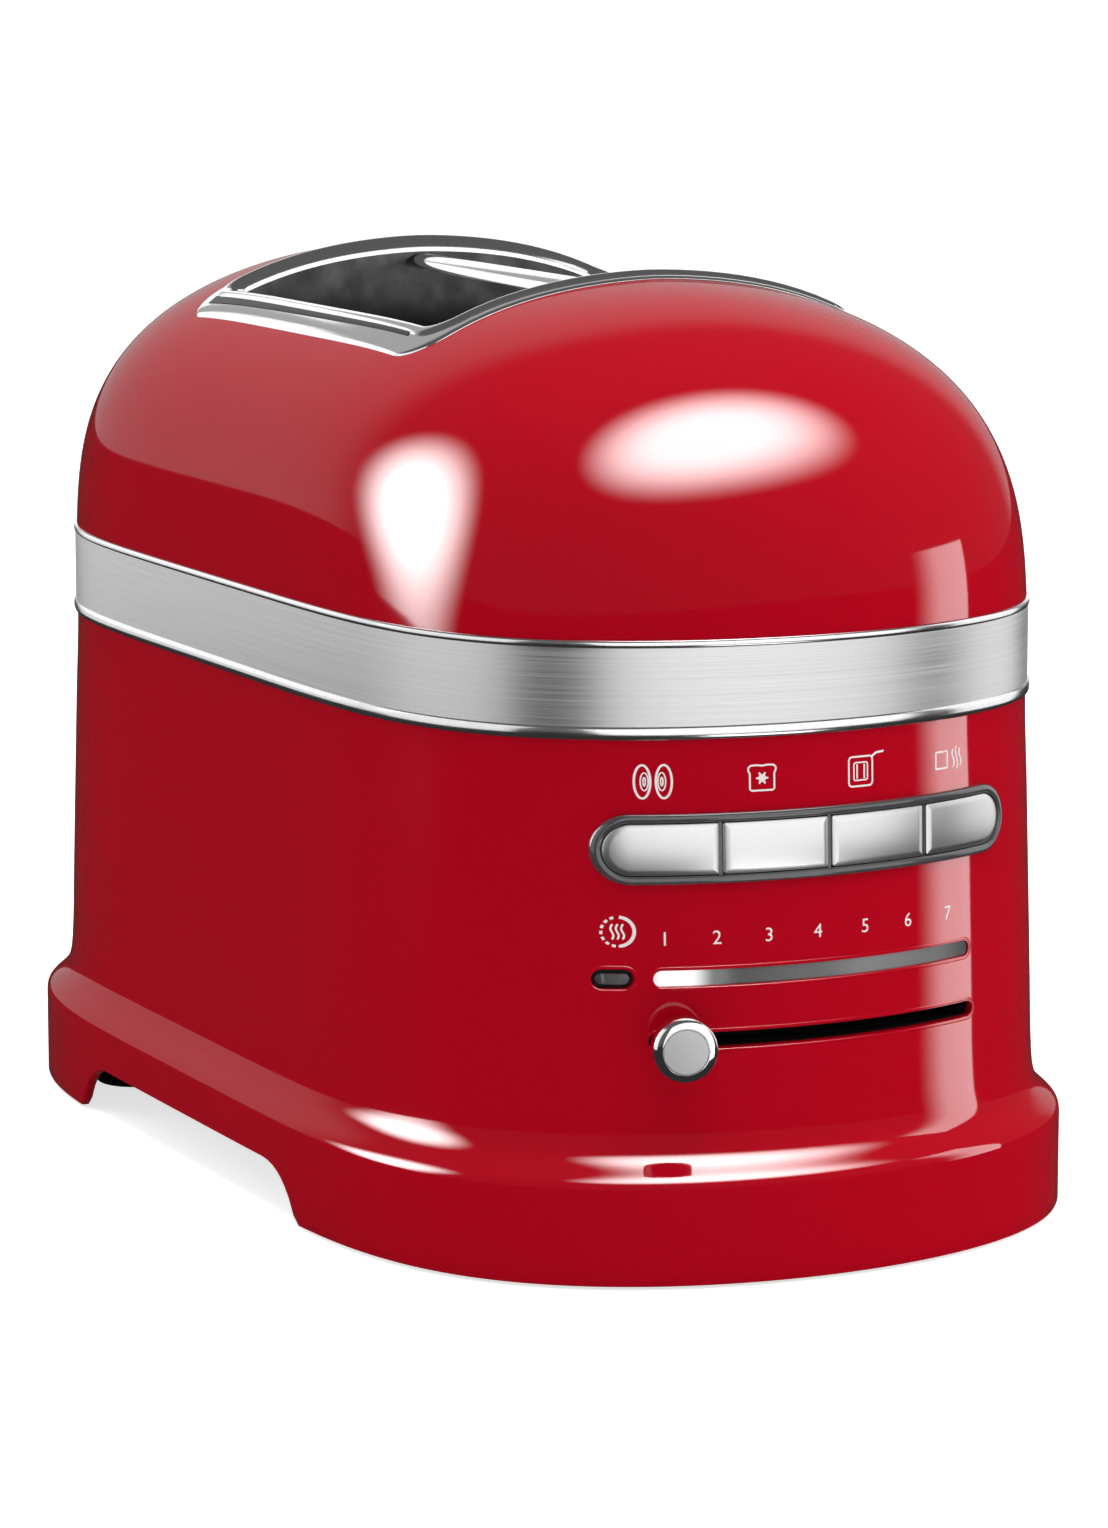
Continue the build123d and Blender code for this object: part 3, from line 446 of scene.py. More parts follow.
def new_group(kind: str, name: str, inputs: dict[str, tuple[Socket, object]],
              outputs: dict[str, Socket]) -> tuple[Tree, Outputs]:
    """Make a node group.

    Args:
        kind: Type of the group.
        name: Name of the group.
        inputs: Kind and default of each input by name.
        outputs: Kind of each output by name.

    Returns:
        The group, and the sockets that give its inputs.
    """
    group = bpy.data.node_groups.new(name, kind)
    for label, socket in outputs.items():
        group.interface.new_socket(label, in_out="OUTPUT", socket_type=socket.value)
    for label, (socket, default) in inputs.items():
        made = group.interface.new_socket(label, in_out="INPUT", socket_type=socket.value)
        if default is not None:
            made.default_value = default
    return group, group.nodes.new("NodeGroupInput").outputs


def grain_group() -> Tree:
    """Stretched noise: drawn lines in brushed metal, cast texture, peel in paint.

    Returns:
        A group with inputs Stretch, Scale, Detail and Contrast, and outputs Value and Height.
    """
    found = bpy.data.node_groups.get("grain")
    if found:
        return found
    group, given = new_group("ShaderNodeTree", "grain", {
        "Stretch": (Socket.VECTOR, (1, 1, 1)), "Scale": (Socket.FLOAT, 100.0), "Detail": (Socket.FLOAT, 3.0),
        "Contrast": (Socket.FLOAT, 1.0)}, {"Value": Socket.FLOAT, "Height": Socket.FLOAT})
    place = add(group, "ShaderNodeTexCoord")
    stretch = add(group, "ShaderNodeVectorMath", {0: place.outputs["Object"], 1: given["Stretch"]},
                  operation="MULTIPLY")
    noise = add(group, "ShaderNodeTexNoise", {
        "Vector": stretch.outputs[0], "Scale": given["Scale"], "Detail": given["Detail"]})
    centre = add(group, "ShaderNodeMath", {0: noise.outputs["Fac"], 1: 0.5}, operation="SUBTRACT")
    spread = add(group, "ShaderNodeMath", {0: centre.outputs[0], 1: given["Contrast"], 2: 0.5},
                 operation="MULTIPLY_ADD", use_clamp=True)
    add(group, "NodeGroupOutput", {"Value": spread.outputs[0], "Height": noise.outputs["Fac"]})
    return group


def tint_group() -> Tree:
    """Two colours mixed by a mask, such as heat tint, dust or dulling.

    Returns:
        A group with inputs Plain, Tinted, Mask and Amount, and output Color.
    """
    found = bpy.data.node_groups.get("tint")
    if found:
        return found
    group, given = new_group("ShaderNodeTree", "tint", {
        "Plain": (Socket.COLOR, (0.5, 0.5, 0.5, 1)), "Tinted": (Socket.COLOR, (0.4, 0.4, 0.4, 1)),
        "Mask": (Socket.FLOAT, 0.5), "Amount": (Socket.FLOAT, 1.0)}, {"Color": Socket.COLOR})
    share = add(group, "ShaderNodeMath", {0: given["Mask"], 1: given["Amount"]}, operation="MULTIPLY", use_clamp=True)
    mix = add(group, "ShaderNodeMix", {"Factor": share.outputs[0]}, data_type="RGBA")
    fill(mix, {"A": given["Plain"], "B": given["Tinted"]})
    add(group, "NodeGroupOutput", {"Color": mix.outputs["Result"]})
    return group


# ------------------------------------------------------------------ finishes


@dataclass(frozen=True)
class Coating:
    """What every finish shares: a colour that a stretched grain tints.

    Attributes:
        name: Name of the material.
        color: Plain colour, linear.
        tinted: Colour where the grain is strongest.
    """

    name: str
    color: Color
    tinted: Color

    def build(self) -> bpy.types.Material:
        """Make the material, or give the one made before."""
        found = bpy.data.materials.get(self.name)
        if found:
            return found
        material = bpy.data.materials.new(self.name)
        material.use_nodes = True
        tree = material.node_tree
        grain = add(tree, "ShaderNodeGroup", node_tree=grain_group())
        tint = add(tree, "ShaderNodeGroup", node_tree=tint_group())
        fill(tint, {"Plain": (*self.color, 1), "Tinted": (*self.tinted, 1), "Mask": grain.outputs["Value"]})
        shader = tree.nodes["Principled BSDF"]
        fill(shader, {"Base Color": tint.outputs["Color"]})
        self.dress(tree, grain, shader)
        return material

    def dress(self, tree: Tree, grain: Node, shader: Node) -> None:
        """Set what makes this kind of finish."""
        raise NotImplementedError


@dataclass(frozen=True)
class Finish(Coating):
    """A finish whose roughness varies by the grain too, with a fine relief.

    Attributes:
        metallic: 1 for metal.
        rough: Lowest and highest roughness.
        scale: Grain scale per metre.
        stretch: Grain stretch along X, Y and Z.
        detail: Octaves of grain.
        contrast: Contrast of the grain.
        relief: Height of the relief in millimetres.
        coat: Weight of a clear coat.
        specular: Specular level of what isn't metal.
        anisotropic: Stretch of the metal's highlight.
        transmission: Share of light that passes through.
    """

    metallic: float = 0.0
    rough: tuple[float, float] = (0.4, 0.5)
    scale: float = 400.0
    stretch: tuple[float, float, float] = (1.0, 1.0, 1.0)
    detail: float = 3.0
    contrast: float = 1.6
    relief: float = 0.02
    coat: float = 0.0
    specular: float = 0.5
    anisotropic: float = 0.0
    transmission: float = 0.0

    def dress(self, tree: Tree, grain: Node, shader: Node) -> None:
        """Set the grain, the roughness, the relief and the shader."""
        fill(grain, {"Stretch": self.stretch, "Scale": self.scale, "Detail": self.detail, "Contrast": self.contrast})
        rough = add(tree, "ShaderNodeMapRange", {
            "Value": grain.outputs["Value"], "To Min": self.rough[0], "To Max": self.rough[1]})
        bump = add(tree, "ShaderNodeBump", {
            "Strength": 1.0, "Distance": self.relief * MM, "Height": grain.outputs["Height"]})
        fill(shader, {
            "Roughness": rough.outputs["Result"], "Normal": bump.outputs["Normal"], "Metallic": self.metallic,
            "Coat Weight": self.coat, "Coat Roughness": 0.05, "Specular IOR Level": self.specular,
            "Anisotropic": self.anisotropic, "Transmission Weight": self.transmission})


@dataclass(frozen=True)
class GlowFinish(Coating):
    """Smoked glass lit from behind at one end, fading along X.

    Attributes:
        span: Ends of the glass along X, in millimetres.
        stops: Brightness at shares of the span.
    """

    span: tuple[float, float]
    stops: tuple[tuple[float, float], ...]

    def dress(self, tree: Tree, grain: Node, shader: Node) -> None:
        """Set the glow and the gloss."""
        fill(grain, {"Scale": 900})
        place = add(tree, "ShaderNodeTexCoord")
        split = add(tree, "ShaderNodeSeparateXYZ", {0: place.outputs["Object"]})
        fade = add(tree, "ShaderNodeMapRange", {
            "Value": split.outputs["X"], "From Min": self.span[0] * MM, "From Max": self.span[1] * MM})
        ramp = add(tree, "ShaderNodeValToRGB", {"Fac": fade.outputs["Result"]})
        ramp.color_ramp.interpolation = "EASE"
        ends = ramp.color_ramp.elements
        for end, (position, glow) in zip(ends, (self.stops[0], self.stops[-1])):
            end.position, end.color = position, (glow, glow, glow, 1)
        for position, glow in self.stops[1:-1]:
            ends.new(position).color = (glow, glow, glow, 1)
        fill(shader, {"Emission Color": ramp.outputs["Color"], "Emission Strength": 1.0, "Roughness": 0.12,
                      "Coat Weight": 0.6})


@dataclass(frozen=True)
class SpunFinish(Coating):
    """Metal turned on a lathe: fine rings and a highlight that fans out from the centre."""

    roughness: float

    def dress(self, tree: Tree, grain: Node, shader: Node) -> None:
        """Set the turned highlight."""
        fill(grain, {"Scale": 900})
        tangent = add(tree, "ShaderNodeTangent", direction_type="UV_MAP", uv_map="round")
        fill(shader, {"Tangent": tangent.outputs[0], "Metallic": 1.0, "Roughness": self.roughness,
                      "Anisotropic": 0.85})


ENAMEL = Finish("enamel_deep_red", (0.420, 0.0008, 0.0105), (0.395, 0.0007, 0.0098), rough=(0.40, 0.46), scale=700,
                relief=0.0025, coat=1.0, specular=0.0, detail=2)
BRUSHED = Finish("brushed_aluminium", (0.60, 0.60, 0.605), (0.78, 0.78, 0.785), metallic=1.0, rough=(0.30, 0.42),
                 scale=1.0, stretch=(9, 9, 4200), detail=4, contrast=2.4, relief=0.006, anisotropic=0.3)
CHROME = Finish("polished_chrome", (0.86, 0.86, 0.87), (0.80, 0.80, 0.81), metallic=1.0, rough=(0.05, 0.11),
                scale=260, relief=0.0015, detail=4)
SATIN = Finish("satin_silver", (0.74, 0.74, 0.745), (0.68, 0.68, 0.685), metallic=1.0, rough=(0.30, 0.38),
               scale=2600, relief=0.004)
BEZEL = Finish("bezel_gloss", (0.045, 0.045, 0.05), (0.06, 0.06, 0.065), rough=(0.12, 0.2), scale=600,
               relief=0.003, coat=0.8)
PRINT = Finish("white_print", (0.85, 0.83, 0.83), (0.78, 0.76, 0.76), rough=(0.35, 0.45), scale=3000, relief=0.003)
BLACK_PLASTIC = Finish("plastic_matt_black", (0.012, 0.012, 0.013), (0.022, 0.022, 0.023), rough=(0.42, 0.58),
                       scale=1500)
BLACK_GLOSS = Finish("black_gloss", (0.006, 0.006, 0.006), (0.012, 0.012, 0.012), rough=(0.08, 0.14), scale=900,
                     relief=0.002, coat=0.5)
RUBBER = Finish("rubber_black", (0.012, 0.012, 0.012), (0.03, 0.03, 0.03), rough=(0.7, 0.9), scale=1800, relief=0.05)
GALVANISED = Finish("galvanised_sheet", (0.52, 0.53, 0.54), (0.36, 0.37, 0.39), metallic=1.0, rough=(0.28, 0.5),
                    scale=160, detail=5, contrast=3.0, relief=0.01)
LINER = Finish("heat_liner", (0.58, 0.56, 0.53), (0.38, 0.33, 0.28), metallic=1.0, rough=(0.2, 0.42), scale=60,
               detail=5, contrast=2.5, relief=0.02)
WIRE = Finish("wire_heat_dulled", (0.60, 0.58, 0.55), (0.42, 0.33, 0.24), metallic=1.0, rough=(0.22, 0.4), scale=45,
              detail=4, contrast=3.0, relief=0.004)
STEEL_BRIGHT = Finish("steel_plain_bright", (0.64, 0.64, 0.65), (0.50, 0.50, 0.51), metallic=1.0, rough=(0.22, 0.36),
                      scale=500, relief=0.004)
STEEL_DARK = Finish("dark_steel", (0.10, 0.10, 0.105), (0.06, 0.06, 0.062), metallic=1.0, rough=(0.4, 0.6),
                    scale=300, relief=0.01)
MICA = Finish("mica_board", (0.30, 0.22, 0.13), (0.46, 0.37, 0.25), rough=(0.35, 0.6), scale=90, detail=6,
              contrast=2.6, relief=0.03)
# Dark metal for the deep part of the chrome throat: painted shade inside the bread slots, not a metal of its own.
THROAT_PAINTED_SHADE = Finish("throat_painted_shade", (0.10, 0.10, 0.10), (0.05, 0.05, 0.05), metallic=1.0, rough=(0.2, 0.34), scale=120,
                detail=4, contrast=2.2, relief=0.01)
RIBBON = Finish("heater_ribbon", (0.30, 0.26, 0.23), (0.17, 0.14, 0.13), metallic=1.0, rough=(0.35, 0.55),
                scale=220, relief=0.01)
BOARD = Finish("board_green", (0.015, 0.09, 0.035), (0.02, 0.13, 0.05), rough=(0.3, 0.4), scale=500,
               relief=0.02, coat=0.4)
NYLON = Finish("white_nylon", (0.72, 0.71, 0.67), (0.64, 0.63, 0.59), rough=(0.45, 0.6), scale=500, relief=0.02)
BRASS = Finish("cut_brass", (0.62, 0.44, 0.16), (0.50, 0.33, 0.11), metallic=1.0, rough=(0.25, 0.4), scale=900,
               relief=0.01)
MOTOR = Finish("motor_can", (0.48, 0.48, 0.5), (0.40, 0.40, 0.42), metallic=1.0, rough=(0.3, 0.42), scale=1.0,
               stretch=(400, 4, 400), relief=0.006)
CORE = Finish("core_laminations", (0.07, 0.06, 0.055), (0.14, 0.12, 0.11), metallic=0.6, rough=(0.4, 0.6), scale=1.0,
              stretch=(20, 1500, 20), contrast=3.0, relief=0.05)
CLEAR = Finish("clear_guide", (0.85, 0.88, 0.90), (0.8, 0.83, 0.86), rough=(0.1, 0.2), scale=300, relief=0.002,
               transmission=0.8)
TRAY = Finish("tray_sheet", (0.50, 0.50, 0.51), (0.34, 0.30, 0.26), metallic=1.0, rough=(0.28, 0.5), scale=70,
              detail=5, contrast=2.4, relief=0.01)
LIGHT_BAR = GlowFinish("light_bar", (0.05, 0.05, 0.052), (0.075, 0.075, 0.078), (-43.0, 43.0),
                       ((0.0, 0.75), (0.03, 1.0), (0.10, 1.0), (0.17, 0.16), (0.24, 0.05), (0.45, 0.09), (0.62, 0.17),
                        (0.86, 0.12), (1.0, 0.02)))
SPUN = SpunFinish("spun_aluminium", (0.80, 0.80, 0.81), (0.736, 0.736, 0.745), 0.30)
EDGE = Finish("polished_edge", (0.84, 0.84, 0.85), (0.74, 0.74, 0.75), metallic=1.0, rough=(0.14, 0.22), scale=600,
              relief=0.002)


# ------------------------------------------------------------------ shells


@dataclass(frozen=True)
class LowerShell:
    """The enamelled lower wall: flared skirt, hand gaps, and openings for the controls."""

    skin_thickness: float = 2.6
    points_round: int = 480
    gap_half: float = 71.0
    gap_flat_half: float = 50.0
    gap_top: float = 14.0
    side_x: float = 60.0
    squeeze_top: float = 19.0
    bend_low: float = 22.0
    bend_high: float = 43.0
    row_step: float = 2.2

    def bottom_at(self, point: Vector) -> float:
        """Height of the shell's bottom edge at a point of its plan."""
        if abs(point.x) < self.side_x or abs(point.y) >= self.gap_half:
            return FORM.skirt_bottom
        t = min(1.0, (self.gap_half - abs(point.y)) / (self.gap_half - self.gap_flat_half))
        return FORM.skirt_bottom + (self.gap_top - FORM.skirt_bottom) * (1 - (1 - t) ** 2.7) ** 0.85

    def loop(self, z: float, inset: float) -> Loop:
        """One loop of the wall, squeezed upwards over the hand gaps."""
        ring = FORM.ring(wall_outset(z) - inset, z, self.points_round)
        top, bottom = self.squeeze_top, FORM.skirt_bottom
        for point in ring:
            if z < top:
                low = self.bottom_at(point)
                point.z = low + (z - bottom) * (top - low) / (top - bottom)
        return ring

    def heights(self) -> list[float]:
        """Heights of the wall's loops, closer together over the flare."""
        count = round((FORM.band_bottom - self.bend_high) / self.row_step)
        spans = ((FORM.skirt_bottom + 0.7, self.bend_low, 7), (self.bend_low, self.bend_high, 36),
                 (self.bend_high, FORM.band_bottom, count))
        return [low + (high - low) * i / rows for low, high, rows in spans for i in range(rows)] + [FORM.band_bottom]

    def build(self) -> None:
        """Make the wall and cut its openings."""
        rows, bottom = self.heights(), FORM.skirt_bottom
        inner = [self.loop(z, self.skin_thickness) for z in reversed(rows[::3] + [rows[-1]])]
        edge = [self.loop(z, inset) for z, inset in ((bottom, self.skin_thickness - 0.3), (bottom, 0.7),
                                                     (bottom + 0.2, 0.2))]
        outer = [self.loop(z, 0.0) for z in rows]
        shell = make_piece("lower_shell_enamel", skin(inner + edge + outer, joined=True), ENAMEL)
        low, high = box_mm("crumb_tray_handle")
        gland_z = sum(corner.z for corner in box_mm("cord_gland")) / 2
        front = [pill.outline(0.0) for pill in (BEZEL_OPENING, WINDOW, LAMP, SLIDER_SLOT)]
        rear = [panel_outline(low.x - 0.5, high.x + 0.5, low.z - 0.5, high.z + 0.5, 1.5, 1.5),
                panel_outline(-6.0, 6.0, gland_z - 6.0, gland_z + 6.0, 2.0, 2.0)]
        cut(shell, [wall_cutter("front_openings", front, -190.0, -135.0),
                    wall_cutter("rear_openings", rear, 135.0, 190.0)], sharp=40)
        show(shell, "housing", "red_enamel", "lower_shell")


@dataclass(frozen=True)
class UpperShell:
    """The enamelled dome with the opening for the slot frame."""

    skin_thickness: float = 2.6
    rows: int = 64
    points_round: int = 400

    def loop(self, level: float, inset: float) -> Loop:
        """One loop of the dome, or of its inner face."""
        half_width, half_length, power = FORM.dome_sizes(level)
        z = FORM.band_top + level * FORM.dome_rise - (inset if level > 0.5 else inset * level * 2)
        near_top = inset if level >= 0.8 else 0.0
        return FORM.ring(near_top - inset, z, self.points_round, max(half_width - near_top, 0.5),
                         half_length - near_top, power)

    def build(self) -> None:
        """Make the dome and cut its opening."""
        levels = [0.9985 * (1 - (1 - i / self.rows) ** 1.9) for i in range(self.rows + 1)]
        inner = [self.loop(level, self.skin_thickness) for level in reversed(levels[:-6:4])]
        outer = [self.loop(level, 0.0) for level in levels]
        shell = make_piece("upper_shell_enamel", skin(inner + outer, Cap.FAN), ENAMEL)
        outline = round_box(SlotFrame.outer_x - 0.6, SlotFrame.outer_y - 0.6, 10.4)
        points, faces = skin([[Vector((x, y, z)) for x, y in outline] for z in (190.0, 250.0)])
        count = len(outline)
        faces += [tuple(range(count)), tuple(range(count, 2 * count))]
        cut(shell, [make_piece("top_opening", (points, faces), STEEL_DARK)], sharp=40)
        show(shell, "housing", "red_enamel", "upper_shell")


@dataclass(frozen=True)
class TrimBand:
    """The brushed band between the shells, with a polished bead along its lower and upper edge."""

    bead: float = 1.05
    face: float = 0.45
    lower_bead_top: float = 3.4
    upper_bead: float = 1.9
    back: float = -2.2
    points_round: int = 480

    def build(self) -> None:
        """Make the brushed face and the two beads as three pieces of one band."""
        low, high = FORM.band_bottom, FORM.band_top
        lower, upper = low + self.lower_bead_top, high - self.upper_bead
        flat = [(self.face - 0.3, lower - 0.4), (self.face, lower - 0.1), (self.face, upper + 0.1),
                (self.face - 0.3, upper + 0.4)]
        show(self.strip("trim_band_face", flat, BRUSHED), "housing", "brushed_band", "trim_band")
        for name, bottom, top, proud in (("lower", low, lower, self.bead), ("upper", upper, high, self.bead * 0.75)):
            profile = self.bead_profile(bottom, top, proud)
            show(self.strip(f"trim_band_{name}_bead", profile, EDGE), "housing", "brushed_band")

    def bead_profile(self, low: float, high: float, proud: float) -> Flat:
        """Rounded section of a bead, as outset and height."""
        middle, half = (low + high) / 2, (high - low) / 2
        return [(proud * math.cos(turn) ** 0.8 if abs(math.cos(turn)) > 1e-6 else 0.0, middle + half * math.sin(turn))
                for turn in (math.radians(-90 + 180 * i / 12) for i in range(13))]

    def strip(self, name: str, profile: Flat, finish: Finish) -> Piece:
        """Closed ring with a given outer profile, as outset and height from the bottom up, and a flat back."""
        back = [(self.back, profile[-1][1]), (self.back, profile[0][1])]
        loops = [FORM.ring(outset, z, self.points_round) for outset, z in profile + back]
        return make_piece(name, skin(loops, joined=True), finish)


@dataclass(frozen=True)
class SlotFrame:
    """The polished frame that follows the dome, rolls into the bread slots and is split by a divider."""

    outer_x: float = 66.0
    outer_y: float = 72.0
    throat_x: float = 56.0
    throat_y: float = 65.0
    throat_bottom: float = 204.0
    divider_half: float = 5.0
    divider_top: float = 226.5
    # Depth under the dome below which the chrome throat is painted dark, as painted shade.
    painted_shade_depth: float = 5.0
    dark_strip_inset: float = 5.35
    dark_strip_rows: int = 60

    def dark_strip(self, name: str, side: int) -> Piece:
        """Black strip along one side, between the flange and the raised lip, slimmer towards the front."""
        loops = []
        outer = self.outer_x - self.dark_strip_inset
        for i in range(self.dark_strip_rows + 1):
            share = i / self.dark_strip_rows
            y = -58.0 + share * 122.0
            wide = 0.35 + 1.0 * share + 0.5 * share**4
            section = [(outer + wide * 0.8, 0.55), (outer + wide * 0.8, 0.98), (outer + wide * 0.3, 1.12),
                       (outer - wide * 0.3, 1.3), (outer - 0.75, 1.36), (outer - 0.75, 0.55)]
            loops.append([Vector((side * x, y, FORM.dome_height(x, y) + lift)) for x, lift in section])
        return make_piece(name, skin(loops, Cap.FAN), BLACK_GLOSS, sharp=50)

    def loop(self, half_x: float, half_y: float, radius: float, lift: float, z: float | None = None) -> Loop:
        """One loop of the frame, over the dome by lift, or level at z."""
        return [Vector((x, y, FORM.dome_height(x, y) + lift if z is None else z))
                for x, y in round_box(half_x, half_y, radius)]

    def build(self) -> None:
        """Make the frame, with its deep throat painted dark as painted shade, its black strips and its divider."""
        steps = [(0.0, 0.0, 11.0, -1.2), (0.0, 0.0, 11.0, 0.2), (0.25, 0.25, 10.8, 0.5), (0.8, 0.8, 10.3, 0.68),
                 (2.4, 1.6, 9.6, 0.78), (4.6, 2.6, 8.6, 0.82), (5.4, 3.1, 8.1, 0.85), (5.8, 3.4, 7.9, 1.15),
                 (6.3, 3.8, 7.7, 1.65), (6.9, 4.2, 7.5, 1.9), (7.6, 4.7, 7.2, 1.9), (8.3, 5.3, 6.9, 1.6),
                 (9.0, 5.9, 6.6, 0.95), (9.6, 6.5, 6.3, -0.3), (10.0, 7.0, 6.0, -2.4)]
        loops = [self.loop(self.outer_x - dx, self.outer_y - dy, radius, lift) for dx, dy, radius, lift in steps]
        loops += [self.loop(self.throat_x + grow, self.throat_y + grow, radius, 0.0, self.throat_bottom)
                  for grow, radius in ((0.0, 6.0), (1.2, 7.0))]
        loops.append(self.loop(self.outer_x - 6.0, self.outer_y - 5.0, 8.0, -1.6))
        rolled = make_piece("slot_frame_rolled", skin(loops, joined=True), CHROME, sharp=50)
        # Faces of the throat deeper than this under the dome get the dark metal: painted shade inside the slots.
        rolled.data.materials.append(THROAT_PAINTED_SHADE.build())
        for face in rolled.data.polygons:
            x, y, z = (c / MM for c in face.center)
            inside = abs(x) < self.throat_x + 0.5 and abs(y) < self.throat_y + 0.5
            if inside and z < FORM.dome_height(x, y) - self.painted_shade_depth:
                face.material_index = 1
        show(rolled, "housing", "polished_frame", "slot_frame")
        for name, side in (("slot_gasket_left", -1), ("slot_gasket_right", 1)):
            show(self.dark_strip(name, side), "housing", "bezel_black")
        half = self.divider_half
        turns = [math.radians(180 * i / 12) for i in range(13)]
        outline = [(-half, self.throat_bottom), (half, self.throat_bottom)]
        outline += [(half * math.cos(turn), self.divider_top - 4.0 + 4.0 * math.sin(turn)) for turn in turns]
        reach = self.throat_y + 0.3
        loops = [[Vector((x, y, z)) for x, z in outline] for y in (-reach, -30.0, 0.0, 30.0, reach)]
        show(make_piece("slot_divider", skin(loops, Cap.FAN), CHROME, sharp=50), "housing", "polished_frame")


# ------------------------------------------------------------------ controls


@dataclass(frozen=True)
class Pill:
    """A strip with round ends on the front wall, level with the floor.

    Attributes:
        x: Its middle.
        z: Its height above the floor.
        half: Half its length.
        tall: Half its height.
        columns: Points along its straight part.
        steps: Points round each corner.
    """

    x: float
    z: float
    half: float
    tall: float
    columns: int = 48
    steps: int = 10

    def outline(self, grow: float) -> Flat:
        """Its outline, grown outwards."""
        half, tall = self.half + grow, self.tall + grow
        return panel_outline(self.x - half, self.x + half, self.z - tall, self.z + tall, tall, tall, self.columns,
                             self.steps)

    def rows(self, section: Sequence[tuple[float, float]]) -> list[Loop]:
        """Its outline on the wall at each growth and depth of a section."""
        return [[on_wall(x, z, depth) for x, z in self.outline(grow)] for grow, depth in section]

    def plate(self, name: str, section: Sequence[tuple[float, float]], finish: Coating) -> Piece:
        """A closed piece through its outline at each growth and depth, from back to front."""
        return make_piece(name, skin(self.rows(section), Cap.COLUMNS), finish, sharp=30)

    def rim(self, name: str, section: Sequence[tuple[float, float]], finish: Coating) -> Piece:
        """A ring round it with a given section."""
        return make_piece(name, skin(self.rows(section), joined=True), finish, sharp=60)


BEZEL_RING = Pill(0.0, 103.5, 55.7, 8.3, steps=16)
BEZEL_OPENING = replace(BEZEL_RING, columns=24, steps=10)
WINDOW = Pill(0.0, 72.9, 42.7, 1.95)
LAMP = Pill(-51.1, 72.9, 4.55, 2.35, columns=8)
SLIDER_SLOT = Pill(0.0, 58.0, 120.2 * math.sin(math.radians(21.4)), 1.95)


@dataclass(frozen=True)
class Controls:
    """Everything that is fixed to the front wall, and the buttons."""

    button_pitch: float = 27.3
    row_half: float = 54.0
    button_tall: float = 6.1
    button_gap: float = 0.52
    button_names: tuple[str, ...] = ("bagel", "frozen", "sandwich", "reheat")

    def build(self) -> None:
        """Make every control in its place."""
        bezel = [(-2.05, -3.0), (-2.05, 0.2), (-1.95, 0.75), (-1.7, 1.0), (-1.1, 1.25), (-0.55, 1.2), (-0.15, 0.85),
                 (0.0, 0.25), (0.0, -3.0)]
        show(BEZEL_RING.rim("button_bezel_ring", bezel, BEZEL), "housing", "bezel_black", "button_bezel")
        for index in range(3):
            self.build_separator(index)
        for index, label in enumerate(self.button_names):
            self.build_button(index, label)
        window = [(0.02, -3.0), (0.02, -1.0), (-0.35, -0.55), (-0.8, -0.45)]
        show(WINDOW.plate("countdown_light_bar", window, LIGHT_BAR), "housing", "window_smoke", "countdown_window")
        lamp = [(0.02, -3.0), (0.02, -1.3), (-0.3, -0.8), (-0.75, -0.75)]
        show(LAMP.plate("keep_warm_lens", lamp, BLACK_GLOSS), "housing", "lamp_smoke", "keep_warm_lamp")
        inlay = [(-1.05, -0.9), (-1.05, -0.55), (-1.3, -0.4)]
        show(LAMP.plate("keep_warm_pill", inlay, BEZEL), "housing", "lamp_smoke")
        lip = [(-0.05, -2.2), (-0.05, -0.5), (0.02, -0.2), (0.16, 0.0), (0.36, 0.09), (0.6, 0.07), (0.85, -0.02),
               (1.0, -0.3), (0.6, -2.2)]
        for name, pill in (("window_lip", WINDOW), ("lamp_lip", LAMP), ("slider_lip", SLIDER_SLOT)):
            show(pill.rim(name, lip, ENAMEL), "housing", "red_enamel")

    def build_separator(self, index: int) -> None:
        """One dark bar between two buttons."""
        x, half, tall = self.button_pitch * (index - 1), 0.42, self.button_tall + 0.3
        outline = panel_outline(x - half, x + half, BEZEL_RING.z - tall, BEZEL_RING.z + tall, 0.1, 0.1, 2, 2)
        loops = [[on_wall(u, v, depth) for u, v in outline] for depth in (-3.0, 0.2)]
        bar = make_piece(f"button_separator_{index + 1}", skin(loops, Cap.COLUMNS), BEZEL, sharp=30)
        show(bar, "housing", "bezel_black")

    def build_button(self, index: int, label: str) -> None:
        """One satin button with a bevelled edge, rounded where it ends the row."""
        first, last = index == 0, index == len(self.button_names) - 1
        x0 = (-self.row_half if first else self.button_pitch * (index - 2)) + self.button_gap
        x1 = (self.row_half if last else self.button_pitch * (index - 1)) - self.button_gap
        tall, z = self.button_tall, BEZEL_RING.z
        left, right = (tall - 0.05 if end else 0.55 for end in (first, last))
        section = [(0.25, -5.9), (0.0, -5.0), (0.0, 0.35), (0.12, 0.62), (0.4, 0.8), (1.15, 1.02), (1.5, 1.1)]
        loops = [[on_wall(u, v, depth) for u, v in panel_outline(
            x0 + d, x1 - d, z - tall + d, z + tall - d, max(left - d, 0.15), max(right - d, 0.15), steps=14)]
            for d, depth in section]
        cap = make_piece(f"button_{label}_cap", skin(loops, Cap.COLUMNS), SATIN, sharp=28)
        show(cap, f"button_{label}", "button_silver", f"button_{label}")


